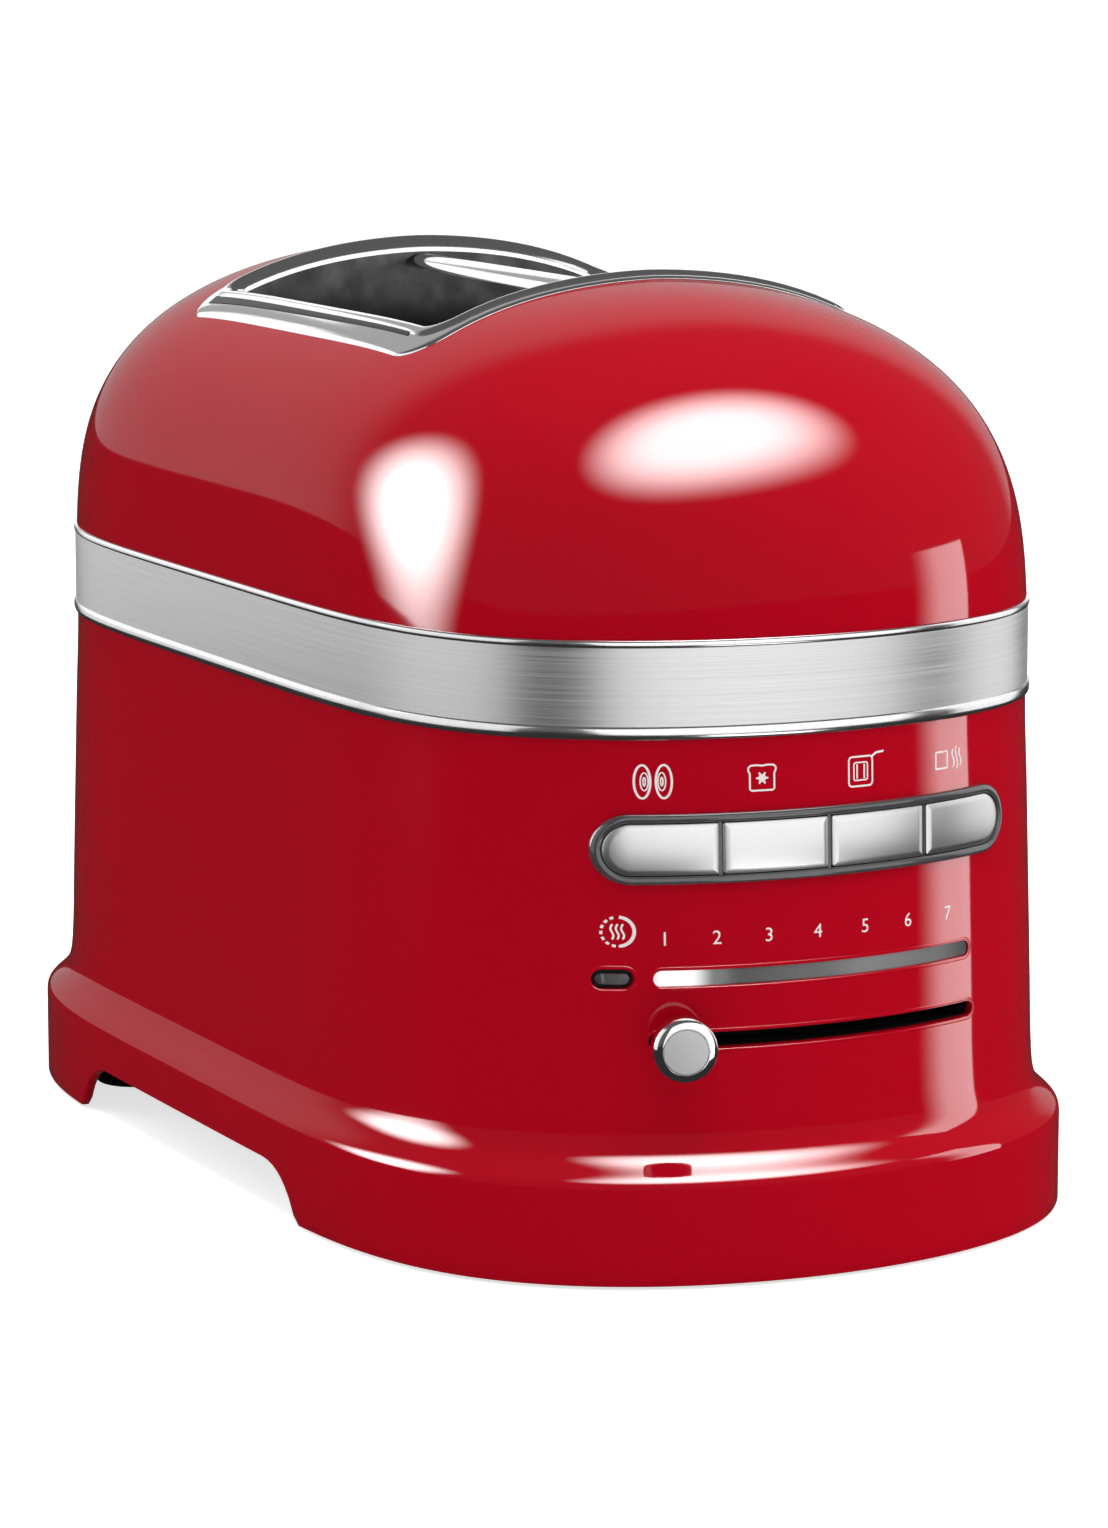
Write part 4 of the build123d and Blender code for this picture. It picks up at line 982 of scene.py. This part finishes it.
@dataclass(frozen=True)
class ShadeKnob:
    """The round slider knob: a lathed cap with a polished rim and a spun face, on a stem."""

    axis_y: float = -42.75
    rest_angle: float = -18.1
    front_radius: float = 132.3
    back_radius: float = 126.1
    half_across: float = 7.75
    collar: float = 5.2
    stem_radius: float = 121.0
    segments: int = 96

    def place(self, radius: float, turn: float, reach: float) -> Vector:
        """Point at a distance from the knob's centre line, reach millimetres from the slider's axis."""
        angle = math.radians(self.rest_angle)
        out = Vector((math.sin(angle), -math.cos(angle), 0))
        side = Vector((math.cos(angle), math.sin(angle), 0))
        centre = Vector((0, self.axis_y, SLIDER_SLOT.z))
        return centre + out * reach + side * radius * math.cos(turn) + Vector((0, 0, radius * math.sin(turn)))

    def lathe(self, name: str, profile: Flat, finish: Coating) -> Piece:
        """Piece turned from a profile of radius and reach, closed at both ends."""
        loops = [[self.place(radius, 2 * math.pi * i / self.segments, reach) for i in range(self.segments)]
                 for radius, reach in profile]
        return make_piece(name, skin(loops, Cap.FAN), finish, sharp=40)

    def build(self) -> None:
        """Make the cap, its spun face and the collar."""
        face, back, r = self.front_radius, self.back_radius, self.half_across
        cap = [(1.0, back), (r - 1.3, back), (r - 0.35, back + 0.25), (r, back + 0.9), (r, face - 1.9),
               (r - 0.12, face - 1.35), (r - 0.45, face - 0.9), (r - 1.5, face - 0.28), (r - 2.1, face - 0.15),
               (r - 2.35, face - 0.35), (r - 2.45, face - 0.8), (1.0, face - 0.8)]
        show(self.lathe("shade_knob_cap", cap, CHROME), "shade_slider", "knob_chrome", "shade_knob")
        disc = [(0.6, face - 1.0), (r - 2.5, face - 1.0), (r - 2.5, face - 0.35), (r - 2.62, face - 0.2),
                (2.5, face - 0.2), (0.6, face - 0.2)]
        spun = self.lathe("shade_knob_face", disc, SPUN)
        self.unwrap(spun)
        show(spun, "shade_slider", "knob_chrome")
        collar = [(1.0, self.stem_radius), (self.collar, self.stem_radius), (self.collar, back - 0.6),
                  (self.collar - 0.4, back + 0.1), (1.0, back + 0.1)]
        show(self.lathe("knob_collar", collar, STEEL_BRIGHT), "shade_slider", "knob_chrome")

    def unwrap(self, piece: Piece) -> None:
        """Give the face a round UV map: turn about the centre line, and distance from it."""
        layer = piece.data.uv_layers.new(name="round")
        centre = self.place(0, 0, self.front_radius)
        side = self.place(1, 0, self.front_radius) - centre
        for polygon in piece.data.polygons:
            turns = []
            for loop_index in polygon.loop_indices:
                point = piece.data.vertices[piece.data.loops[loop_index].vertex_index].co / MM - centre
                turns.append((math.atan2(point.z, point.dot(side)) / (2 * math.pi), point.cross(side).length))
            base = max(turn for turn, _ in turns)
            for loop_index, (turn, radius) in zip(polygon.loop_indices, turns):
                layer.data[loop_index].uv = (turn + 1 if base - turn > 0.5 else turn, radius / 10)


@dataclass(frozen=True)
class PrintedMarks:
    """White marks printed on the front wall: four icons, a timer and the shade numbers."""

    depth: float = 0.05
    line: float = 0.42
    icon_z: float = 119.5
    number_z: float = 82.5
    number_height: float = 3.4
    number_x: tuple[float, ...] = (-40.1, -28.2, -15.6, -3.0, 9.9, 22.5, 35.2)
    timer_x: float = -50.1
    timer_z: float = 84.2
    timer_across: float = 7.7

    def stroke(self, path: Flat, weight: float, closed: bool = False) -> Skin:
        """A flat printed line along a path on the wall.

        Args:
            path: Points along the line, as x and z.
            weight: Width of the line, as a share of the marks' own.
            closed: Whether its end joins its start.

        Returns:
            Points and faces of a thin closed strip.
        """
        count, half = len(path), self.line * weight / 2
        loops = []
        for i, (x, z) in enumerate(path):
            before = path[i - 1] if i or closed else path[i]
            after = path[(i + 1) % count] if i < count - 1 or closed else path[i]
            run = Vector((after[0] - before[0], after[1] - before[1]))
            run = run.normalized() if run.length > 1e-9 else Vector((1, 0))
            dx, dz = -run.y * half, run.x * half
            loops.append([on_wall(x + side * dx, z + side * dz, depth)
                          for side, depth in ((1, -0.15), (1, self.depth), (-1, self.depth), (-1, -0.15))])
        points, faces = skin(loops, joined=closed)
        if not closed:
            faces += [(3, 2, 1, 0), tuple(4 * (count - 1) + i for i in range(4))]
        return points, faces

    def arc(self, x: float, z: float, rx: float, rz: float, start: float, end: float, steps: int = 20) -> Flat:
        """Points along an ellipse from one turn to another, in degrees."""
        turns = [math.radians(start + (end - start) * i / steps) for i in range(steps + 1)]
        return [(x + rx * math.cos(turn), z + rz * math.sin(turn)) for turn in turns]

    def frame_path(self, x: float, z: float, half_x: float, half_z: float, radius: float) -> Flat:
        """Points round a rectangle with round corners."""
        return [(x + u, z + v) for u, v in round_box(half_x, half_z, radius, 5, 3)]

    def bagel(self, x: float, z: float) -> list[Skin]:
        """Two halves of a bagel, standing side by side."""
        made = []
        for side in (-1, 1):
            c = x + side * 2.35
            made.append(self.stroke(self.arc(c, z, 1.75, 3.9, 0, 354, 40), 1.2, True))
            for rx, rz in ((0.85, 2.1), (0.25, 1.0)):
                made.append(self.stroke(self.arc(c - side * 0.45, z, rx, rz, 0, 350, 24), 0.7, True))
        return made

    def frozen(self, x: float, z: float) -> list[Skin]:
        """A slice of bread with a snowflake."""
        outline = [(x + 2.6 * u, z + v) for u, v in (
            (-1, -2.9), (1, -2.9), (1.16, -2.6), (1.16, 1.2), (1.3, 1.7), (1.3, 2.5), (1.1, 3.0), (0.5, 3.1), (0, 2.9),
            (-0.5, 3.1), (-1.1, 3.0), (-1.3, 2.5), (-1.3, 1.7), (-1.16, 1.2), (-1.16, -2.6))]
        made = [self.stroke(outline, 1, True)]
        for turn in (0, 60, 120):
            dx, dz = 1.5 * math.cos(math.radians(turn)), 1.5 * math.sin(math.radians(turn))
            made.append(self.stroke([(x - dx, z - dz), (x + dx, z + dz)], 1))
        return made + [self.stroke(self.arc(x, z, 0.8, 0.8, 0, 340, 18), 0.7, True)]

    def sandwich(self, x: float, z: float) -> list[Skin]:
        """A sandwich rack with a handle."""
        c = x - 0.6
        made = [self.stroke(self.frame_path(c, z - 0.2, 3.3, 3.5, 0.9), 1, True),
                self.stroke(self.frame_path(c, z - 0.2, 1.9, 2.1, 0.5), 0.8, True)]
        made += [self.stroke([(c + dx, z - 1.9), (c + dx, z + 1.5)], 0.9) for dx in (-1.0, 1.0)]
        return made + [self.stroke([(x + 2.4, z + 3.0), (x + 3.8, z + 3.9), (x + 6.0, z + 4.1)], 1.2)]

    def wave(self, x: float, z: float, height: float, swing: float, pace: float) -> Skin:
        """One wavy line of rising heat, upwards from a point."""
        return self.stroke([(x + swing * math.sin(k * pace), z + height * k / 12) for k in range(13)], 1)

    def reheat(self, x: float, z: float) -> list[Skin]:
        """A small square beside rising heat."""
        made = [self.stroke(self.frame_path(x - 2.5, z - 0.1, 1.9, 2.0, 0.3), 1, True)]
        return made + [self.wave(x + dx, z - tall / 1.1, tall * 1.8, 0.35, 0.5)
                       for dx, tall in ((1.4, 2.4), (2.6, 3.1), (3.8, 2.4))]

    def timer(self) -> list[Skin]:
        """A clock ring, thick on its right and dashed on its left, round rising heat."""
        x, z, r = self.timer_x, self.timer_z, self.timer_across / 2 - 0.4
        made = [self.stroke(self.arc(x, z, r, r, -80, 85, 26), 0.75 / self.line)]
        made += [self.stroke(self.arc(x, z, r, r, start, start + 13, 4), 0.6 / self.line)
                 for start in range(105, 275, 24)]
        return made + [self.wave(x - 0.1 + dx, z - 1.8, 3.6, 0.3, 0.55) for dx in (-1.1, 0.0, 1.1)]

    def numbers(self) -> list[Skin]:
        """The shade numbers 1 to 7."""
        made = []
        for index, x in enumerate(self.number_x):
            curve = bpy.data.curves.new("number", "FONT")
            curve.body = str(index + 1)
            curve.align_x = "CENTER"
            curve.size = self.number_height / 0.72
            curve.extrude = 0.1
            curve.offset = -0.012
            curve.resolution_u = 3
            figure = bpy.data.objects.new("number", curve)
            put_in_scene(figure)
            mesh = bpy.data.meshes.new_from_object(figure.evaluated_get(bpy.context.evaluated_depsgraph_get()))
            points = [on_wall(x + v.co.x, self.number_z - self.number_height / 2 + v.co.y, self.depth - 0.1 + v.co.z)
                      for v in mesh.vertices]
            made.append((points, [tuple(p.vertices) for p in mesh.polygons]))
            bpy.data.objects.remove(figure)
            bpy.data.curves.remove(curve)
            bpy.data.meshes.remove(mesh)
        return made

    def build(self) -> None:
        """Print each mark as one piece."""
        marks = {
            "bagel": self.bagel(-42.2, self.icon_z), "frozen": self.frozen(-17.0, self.icon_z),
            "sandwich": self.sandwich(9.5, self.icon_z), "reheat": self.reheat(36.0, self.icon_z),
            "timer": self.timer(), "numbers": self.numbers(),
        }
        for name, parts in marks.items():
            show(make_piece(f"mark_{name}", merge(parts), PRINT, sharp=30), "housing", "white_plastic")


# ------------------------------------------------------------------ geometry nodes


def new_tree(name: str, **inputs: Socket) -> tuple[Tree, Outputs]:
    """A geometry node tree with one geometry output; an underscore in an input's name stands for a space."""
    named = {label.replace("_", " "): (socket, None) for label, socket in inputs.items()}
    return new_group("GeometryNodeTree", name, named, {"Geometry": Socket.GEOMETRY})


def close_tree(tree: Tree, made: bpy.types.NodeSocket, material: bpy.types.NodeSocket) -> None:
    """End a tree in Realize Instances and Set Material."""
    real = add(tree, "GeometryNodeRealizeInstances", {"Geometry": made})
    dress = add(tree, "GeometryNodeSetMaterial", {"Geometry": real.outputs["Geometry"], "Material": material})
    add(tree, "NodeGroupOutput", {"Geometry": dress.outputs["Geometry"]})


def grow(name: str, tree: Tree, values: dict[str, object]) -> Piece:
    """Run a geometry node tree on an empty mesh with inputs by name, and keep what it makes."""
    piece = bpy.data.objects.new(name, bpy.data.meshes.new(name))
    put_in_scene(piece)
    modifier = piece.modifiers.new("grow", "NODES")
    modifier.node_group = tree
    sockets = {item.name: item.identifier for item in tree.interface.items_tree if item.in_out == "INPUT"}
    for label, value in values.items():
        modifier[sockets[label]] = value
    plain(piece)
    finish_mesh(piece.data, 35.0)
    return piece


def winding_tree() -> Tree:
    """Ribbon wound round a flat board: a spiral squeezed flat, with a flat section."""
    tree, given = new_tree("ribbon_winding", Centre=Socket.VECTOR, Turns=Socket.FLOAT, Half_Depth=Socket.FLOAT,
                           Half_Length=Socket.FLOAT, Height=Socket.FLOAT, Ribbon_Width=Socket.FLOAT,
                           Ribbon_Thickness=Socket.FLOAT, Material=Socket.MATERIAL)
    spiral = add(tree, "GeometryNodeCurveSpiral", {
        "Resolution": 24, "Start Radius": 1.0, "End Radius": 1.0, "Rotations": given["Turns"],
        "Height": given["Height"]})
    size = add(tree, "ShaderNodeCombineXYZ", {"X": given["Half Depth"], "Y": given["Half Length"], "Z": 1.0})
    flat = add(tree, "GeometryNodeTransform", {
        "Geometry": spiral.outputs["Curve"], "Scale": size.outputs[0], "Translation": given["Centre"]})
    normal = add(tree, "GeometryNodeSetCurveNormal", {"Curve": flat.outputs["Geometry"]}, mode="Z_UP")
    section = add(tree, "GeometryNodeCurvePrimitiveQuadrilateral", {
        "Width": given["Ribbon Thickness"], "Height": given["Ribbon Width"]})
    sweep = add(tree, "GeometryNodeCurveToMesh", {
        "Fill Caps": True, "Curve": normal.outputs["Curve"], "Profile Curve": section.outputs["Curve"]})
    close_tree(tree, sweep.outputs["Mesh"], given["Material"])
    return tree


def domed_row_tree() -> Tree:
    """A straight row of domed heads, such as screws and rivets, lying on one face."""
    tree, given = new_tree("row_of_heads", First=Socket.VECTOR, Step=Socket.VECTOR, Count=Socket.INT,
                           Turn=Socket.VECTOR, Radius=Socket.FLOAT, Flatness=Socket.FLOAT, Material=Socket.MATERIAL)
    line = add(tree, "GeometryNodeMeshLine", {
        "Count": given["Count"], "Start Location": given["First"], "Offset": given["Step"]}, mode="OFFSET")
    head = add(tree, "GeometryNodeMeshUVSphere", {"Segments": 20, "Rings": 12, "Radius": given["Radius"]})
    size = add(tree, "ShaderNodeCombineXYZ", {"X": 1.0, "Y": 1.0, "Z": given["Flatness"]})
    flat = add(tree, "GeometryNodeTransform", {
        "Geometry": head.outputs["Mesh"], "Scale": size.outputs[0], "Rotation": given["Turn"]})
    place = add(tree, "GeometryNodeInstanceOnPoints", {
        "Points": line.outputs["Mesh"], "Instance": flat.outputs["Geometry"]})
    close_tree(tree, place.outputs["Instances"], given["Material"])
    return tree


def ring_tread_tree() -> Tree:
    """Concentric round ribs, such as the tread under a rubber foot."""
    tree, given = new_tree("ring_tread", Centre=Socket.VECTOR, Count=Socket.INT, First_Radius=Socket.FLOAT,
                           Pitch=Socket.FLOAT, Rib=Socket.FLOAT, Material=Socket.MATERIAL)
    points = add(tree, "GeometryNodeMeshLine", {
        "Offset": (0, 0, 0), "Count": given["Count"], "Start Location": given["Centre"]}, mode="OFFSET")
    circle = add(tree, "GeometryNodeCurvePrimitiveCircle", {"Resolution": 48, "Radius": 1.0})
    index = add(tree, "GeometryNodeInputIndex")
    spread = add(tree, "ShaderNodeMath", {0: index.outputs[0], 1: given["Pitch"], 2: given["First Radius"]},
                 operation="MULTIPLY_ADD")
    place = add(tree, "GeometryNodeInstanceOnPoints", {
        "Points": points.outputs["Mesh"], "Instance": circle.outputs["Curve"], "Scale": spread.outputs[0]})
    real = add(tree, "GeometryNodeRealizeInstances", {"Geometry": place.outputs["Instances"]})
    section = add(tree, "GeometryNodeCurvePrimitiveCircle", {"Resolution": 8, "Radius": given["Rib"]})
    sweep = add(tree, "GeometryNodeCurveToMesh", {
        "Curve": real.outputs["Geometry"], "Profile Curve": section.outputs["Curve"]})
    close_tree(tree, sweep.outputs["Mesh"], given["Material"])
    return tree


@dataclass(frozen=True)
class Hardware:
    """What repeats: ribbon windings, screw heads and the feet's treads. Sizes here are in millimetres."""

    turns: float = 15.0
    ribbon_width: float = 2.2
    ribbon_thickness: float = 0.14
    winding_half: float = 60.5
    board_margin: float = 10.0
    screw_x: float = 77.5
    screw_y: float = 113.0

    def build(self) -> None:
        """Wind the heaters, then add heads and treads."""
        winding, heads, tread = winding_tree(), domed_row_tree(), ring_tread_tree()
        for label in ("left_outer", "left_inner", "right_outer", "right_inner"):
            low, high = box_mm(f"heater_{label}")
            show(grow(f"heater_ribbon_{label}", winding, {
                "Centre": Vector(((low.x + high.x) / 2, 0, low.z + self.board_margin)) * MM, "Turns": self.turns,
                "Half Depth": ((high.x - low.x) / 2 + 0.2) * MM, "Half Length": self.winding_half * MM,
                "Height": (high.z - low.z - 2 * self.board_margin) * MM, "Ribbon Width": self.ribbon_width * MM,
                "Ribbon Thickness": self.ribbon_thickness * MM, "Material": RIBBON.build()}), "housing", "mica")
        low, _ = box_mm("base_plate")
        for index, y in enumerate((-self.screw_y, self.screw_y)):
            show(grow(f"base_screw_heads_{index + 1}", heads, {
                "First": Vector((-self.screw_x, y, low.z - 0.1)) * MM, "Step": Vector((2 * self.screw_x, 0, 0)) * MM,
                "Count": 2, "Turn": Vector(), "Radius": 3.4 * MM, "Flatness": 0.35,
                "Material": STEEL_BRIGHT.build()}), "housing", "screw_steel")
        for label in ("front_left", "rear_left", "front_right", "rear_right"):
            low, high = box_mm(f"foot_{label}")
            show(grow(f"foot_tread_{label}", tread, {
                "Centre": Vector(((low.x + high.x) / 2, (low.y + high.y) / 2, 0.55)) * MM, "Count": 4,
                "First Radius": 2.8 * MM, "Pitch": 1.8 * MM, "Rib": 0.5 * MM,
                "Material": RUBBER.build()}), "housing", "foot_rubber")


# ------------------------------------------------------------------ carried-over pieces

CARRIED: dict[str, Finish] = {
    "black_plastic": BLACK_PLASTIC, "circuit_board": BOARD, "white_plastic": NYLON, "clear_guide": CLEAR,
    "galvanised": GALVANISED, "bright_steel": STEEL_BRIGHT, "screw_steel": STEEL_BRIGHT, "foot_rubber": RUBBER,
    "mica": MICA, "guard_wire": WIRE, "motor_steel": MOTOR, "gear_brass": BRASS, "core_steel": CORE,
    "tray_steel": TRAY, "red_enamel": ENAMEL, "brushed_band": BRUSHED, "polished_frame": CHROME,
    "bezel_black": BEZEL, "button_silver": SATIN, "window_smoke": BLACK_GLOSS, "lamp_smoke": BLACK_GLOSS,
    "knob_chrome": CHROME,
}


def dress_nodes() -> None:
    """Give every carried-over CAD node the finish of its slot."""
    slots = {part["node"]: part["material_slot"] for part in frame["record"]["subparts"]}
    for name, node in frame["nodes"].items():
        finish = LINER if name.startswith("heat_liner") else CARRIED[slots[name]]
        node.data.materials.clear()
        node.data.materials.append(finish.build())
    LOG.info("%d nodes dressed", len(slots))


# ------------------------------------------------------------------ studio


class Role(Enum):
    """What a light is for."""

    FILL = "fill"
    ENAMEL = "enamel gleam"
    METAL = "metal gleam"


class Feather(Enum):
    """How a light fades towards its edges."""

    NONE = "none"
    ROUND = "round"
    SIDE = "side"


@dataclass(frozen=True)
class Softbox:
    """An area light, placed by its direction from a point.

    Attributes:
        name: Name of the light.
        role: What it lights.
        turn: Direction round the object, in degrees from the front towards the right.
        lift: Direction above the level, in degrees.
        distance: Distance from the point it points at, in metres.
        size: Width and height in metres.
        radiance: Brightness of its middle.
        target: Point it points at, in metres.
        feather: How it fades towards its edges.
    """

    name: str
    role: Role
    turn: float
    lift: float
    distance: float
    size: tuple[float, float]
    radiance: float
    target: tuple[float, float, float] = (0.0, 0.0, 0.12)
    feather: Feather = Feather.NONE

    def build(self, receivers: dict[Role, bpy.types.Collection]) -> None:
        """Make the light and link it to what it lights."""
        data = bpy.data.lights.new(self.name, "AREA")
        data.shape = "RECTANGLE"
        data.size, data.size_y = self.size
        data.energy = self.radiance * math.pi * self.size[0] * self.size[1]
        light = bpy.data.objects.new(self.name, data)
        turn, lift = math.radians(self.turn), math.radians(self.lift)
        way = Vector((math.sin(turn) * math.cos(lift), -math.cos(turn) * math.cos(lift), math.sin(lift)))
        light.location = Vector(self.target) + way * self.distance
        light.rotation_euler = way.to_track_quat("Z", "Y").to_euler()
        put_in_scene(light)
        light.visible_camera = False
        if self.role is Role.FILL:
            light.visible_glossy = False
        else:
            light.visible_diffuse = False
            light.light_linking.receiver_collection = receivers[self.role]
            light.light_linking.blocker_collection = receivers[Role.FILL]
        if self.feather is not Feather.NONE:
            self.fade(data)

    def fade(self, data: bpy.types.Light) -> None:
        """Fade the light towards its edges by its own parametric coordinates."""
        data.use_nodes = True
        tree = data.node_tree
        glow = next(node for node in tree.nodes if node.type == "EMISSION")
        place = add(tree, "ShaderNodeNewGeometry").outputs["Parametric"]
        if self.feather is Feather.ROUND:
            centre = add(tree, "ShaderNodeVectorMath", {0: place, 1: (0.5, 0.5, 0.0)}, operation="SUBTRACT")
            reach = add(tree, "ShaderNodeVectorMath", {0: centre.outputs[0]}, operation="LENGTH")
            span = {"Value": reach.outputs["Value"], "From Min": 0.5, "From Max": 0.12}
        else:
            split = add(tree, "ShaderNodeSeparateXYZ", {0: place})
            span = {"Value": split.outputs["X"], "From Min": 0.0, "From Max": 0.5}
        ramp = add(tree, "ShaderNodeMapRange", span, interpolation_type="SMOOTHSTEP")
        fill(glow, {"Strength": ramp.outputs["Result"]})


SOFTBOXES = (
    Softbox("fill_top", Role.FILL, 0, 78, 1.5, (1.6, 1.6), 3.1),
    Softbox("fill_left", Role.FILL, -130, 25, 1.6, (1.2, 1.2), 0.95),
    Softbox("fill_right", Role.FILL, 62, 22, 1.4, (0.9, 1.0), 2.6),
    Softbox("gleam_left", Role.ENAMEL, -114, 17, 1.5, (1.5, 1.7), 24, feather=Feather.ROUND),
    Softbox("gleam_top", Role.ENAMEL, 8, 58, 1.5, (2.2, 1.4), 24, feather=Feather.ROUND),
    Softbox("gleam_right", Role.ENAMEL, 54.6, 0, 0.2, (0.093, 0.195), 5, target=(0.048, -0.124, 0.0985),
            feather=Feather.SIDE),
    Softbox("metal_front", Role.METAL, 5, 15, 0.3, (0.7, 0.42), 1.25, target=(0, -0.16, 0.135)),
    Softbox("metal_low", Role.METAL, 28, -6, 0.12, (0.1, 0.05), 2.4, target=(-0.04, -0.175, 0.046)),
    Softbox("metal_left", Role.METAL, -95, 15, 0.35, (0.5, 0.42), 0.9, target=(-0.09, -0.05, 0.125)),
    Softbox("metal_behind", Role.METAL, -150, 15, 0.5, (0.6, 0.5), 0.8, target=(-0.09, 0.1, 0.125)),
    Softbox("metal_back_right", Role.METAL, 150, 15, 0.5, (0.6, 0.5), 0.8, target=(0.05, 0.1, 0.125)),
    Softbox("metal_right", Role.METAL, 82, 15, 0.3, (0.3, 0.42), 1.1, target=(0.09, -0.1, 0.135)),
)


@dataclass(frozen=True)
class Studio:
    """Pale floor, soft light and the camera."""

    eye: tuple[float, float, float] = (-0.6124, -1.2553, 0.3337)
    aim: tuple[float, float, float] = (0.0062, -0.0031, 0.0973)
    lens: float = 127.58
    floor_half: float = 40.0
    back_turn: float = 167.5
    back_span: tuple[float, float] = (0.58, 0.76)
    floor_seen: float = 0.72
    floor_glow: float = 0.03
    room_glow: float = 0.11
    back_glow: float = 0.42
    room_light: float = 0.42

    def build(self) -> None:
        """Make the floor, the world, the lights and the camera."""
        self.build_camera()
        self.build_floor()
        self.build_world()
        receivers = {Role.FILL: self.gather("all_pieces", {m.name for m in bpy.data.materials} - {"studio_floor"}),
                     Role.ENAMEL: self.gather("enamel_pieces", {"enamel_deep_red"}),
                     Role.METAL: self.gather("metal_pieces", {
                         "brushed_aluminium", "polished_chrome", "satin_silver", "polished_edge", "spun_aluminium",
                         "bezel_gloss"})}
        for softbox in SOFTBOXES:
            softbox.build(receivers)
        view = bpy.context.scene.view_settings
        view.view_transform = "Standard"
        view.look = "None"

    def gather(self, name: str, finishes: set[str]) -> bpy.types.Collection:
        """Collect the pieces that have one of some finishes, for the lights that only they receive."""
        group = bpy.data.collections.new(name)
        for piece in bpy.data.objects:
            if piece.type == "MESH" and any(m and m.name in finishes for m in piece.data.materials):
                group.objects.link(piece)
        return group

    def build_camera(self) -> None:
        """The camera, at the object's three quarter view."""
        data = bpy.data.cameras.new("camera")
        data.lens = self.lens
        data.sensor_width = 36.0
        camera = bpy.data.objects.new("camera", data)
        camera.location = self.eye
        camera.rotation_euler = (Vector(self.aim) - Vector(self.eye)).to_track_quat("-Z", "Y").to_euler()
        put_in_scene(camera)
        bpy.context.scene.camera = camera

    def build_floor(self) -> None:
        """A wide pale floor."""
        half = self.floor_half
        mesh = bpy.data.meshes.new("floor")
        mesh.from_pydata([(-half, -half, 0), (half, -half, 0), (half, half, 0), (-half, half, 0)], [], [(0, 1, 2, 3)])
        mesh.materials.append(self.floor_material())
        floor = bpy.data.objects.new("floor", mesh)
        put_in_scene(floor)

    def floor_material(self) -> bpy.types.Material:
        """White floor that seems dim to glossy rays, so polished pieces keep their contrast."""
        material = bpy.data.materials.new("studio_floor")
        material.use_nodes = True
        tree = material.node_tree
        tree.nodes.clear()
        path = add(tree, "ShaderNodeLightPath").outputs
        matt = add(tree, "ShaderNodeBsdfDiffuse", {"Color": (0.9, 0.9, 0.9, 1)})
        seen, dim = (add(tree, "ShaderNodeEmission", {"Color": (1, 1, 1, 1), "Strength": strength})
                     for strength in (self.floor_seen, self.floor_glow))
        both = add(tree, "ShaderNodeAddShader", {0: matt.outputs[0], 1: seen.outputs[0]})
        choose = add(tree, "ShaderNodeMixShader", {0: path["Is Glossy Ray"], 1: matt.outputs[0], 2: dim.outputs[0]})
        last = add(tree, "ShaderNodeMixShader", {0: path["Is Camera Ray"], 1: choose.outputs[0], 2: both.outputs[0]})
        add(tree, "ShaderNodeOutputMaterial", {0: last.outputs[0]})
        return material

    def build_world(self) -> None:
        """White to the camera, soft to matt surfaces, and a dim room with a pale back wall to polish."""
        world = bpy.data.worlds.new("studio")
        bpy.context.scene.world = world
        world.use_nodes = True
        tree = world.node_tree
        tree.nodes.clear()
        path = add(tree, "ShaderNodeLightPath").outputs
        seen, room, wall = (add(tree, "ShaderNodeBackground", {"Color": (1, 1, 1, 1), "Strength": strength})
                            for strength in (1.0, self.room_light, 1.0))
        place = add(tree, "ShaderNodeTexCoord")
        turn = math.radians(self.back_turn)
        facing = add(tree, "ShaderNodeVectorMath", {
            0: place.outputs["Generated"], 1: (math.sin(turn), -math.cos(turn), 0)}, operation="DOT_PRODUCT")
        strength = add(tree, "ShaderNodeMapRange", {
            "Value": facing.outputs["Value"], "From Min": self.back_span[0], "From Max": self.back_span[1],
            "To Min": self.room_glow, "To Max": self.back_glow}, interpolation_type="SMOOTHSTEP")
        fill(wall, {"Strength": strength.outputs["Result"]})
        glossy = add(tree, "ShaderNodeMixShader", {0: path["Is Glossy Ray"], 1: room.outputs[0], 2: wall.outputs[0]})
        camera = add(tree, "ShaderNodeMixShader", {0: path["Is Camera Ray"], 1: glossy.outputs[0], 2: seen.outputs[0]})
        add(tree, "ShaderNodeOutputWorld", {0: camera.outputs[0]})


# ------------------------------------------------------------------ everything in order


def main() -> None:
    """Build every piece in order, then the studio."""
    logging.basicConfig(level=logging.INFO, format="%(message)s")
    dress_nodes()
    for part in (LowerShell, UpperShell, TrimBand, SlotFrame, Controls, ShadeKnob, PrintedMarks, Hardware, Studio):
        part().build()


if __name__ == "__main__":
    main()
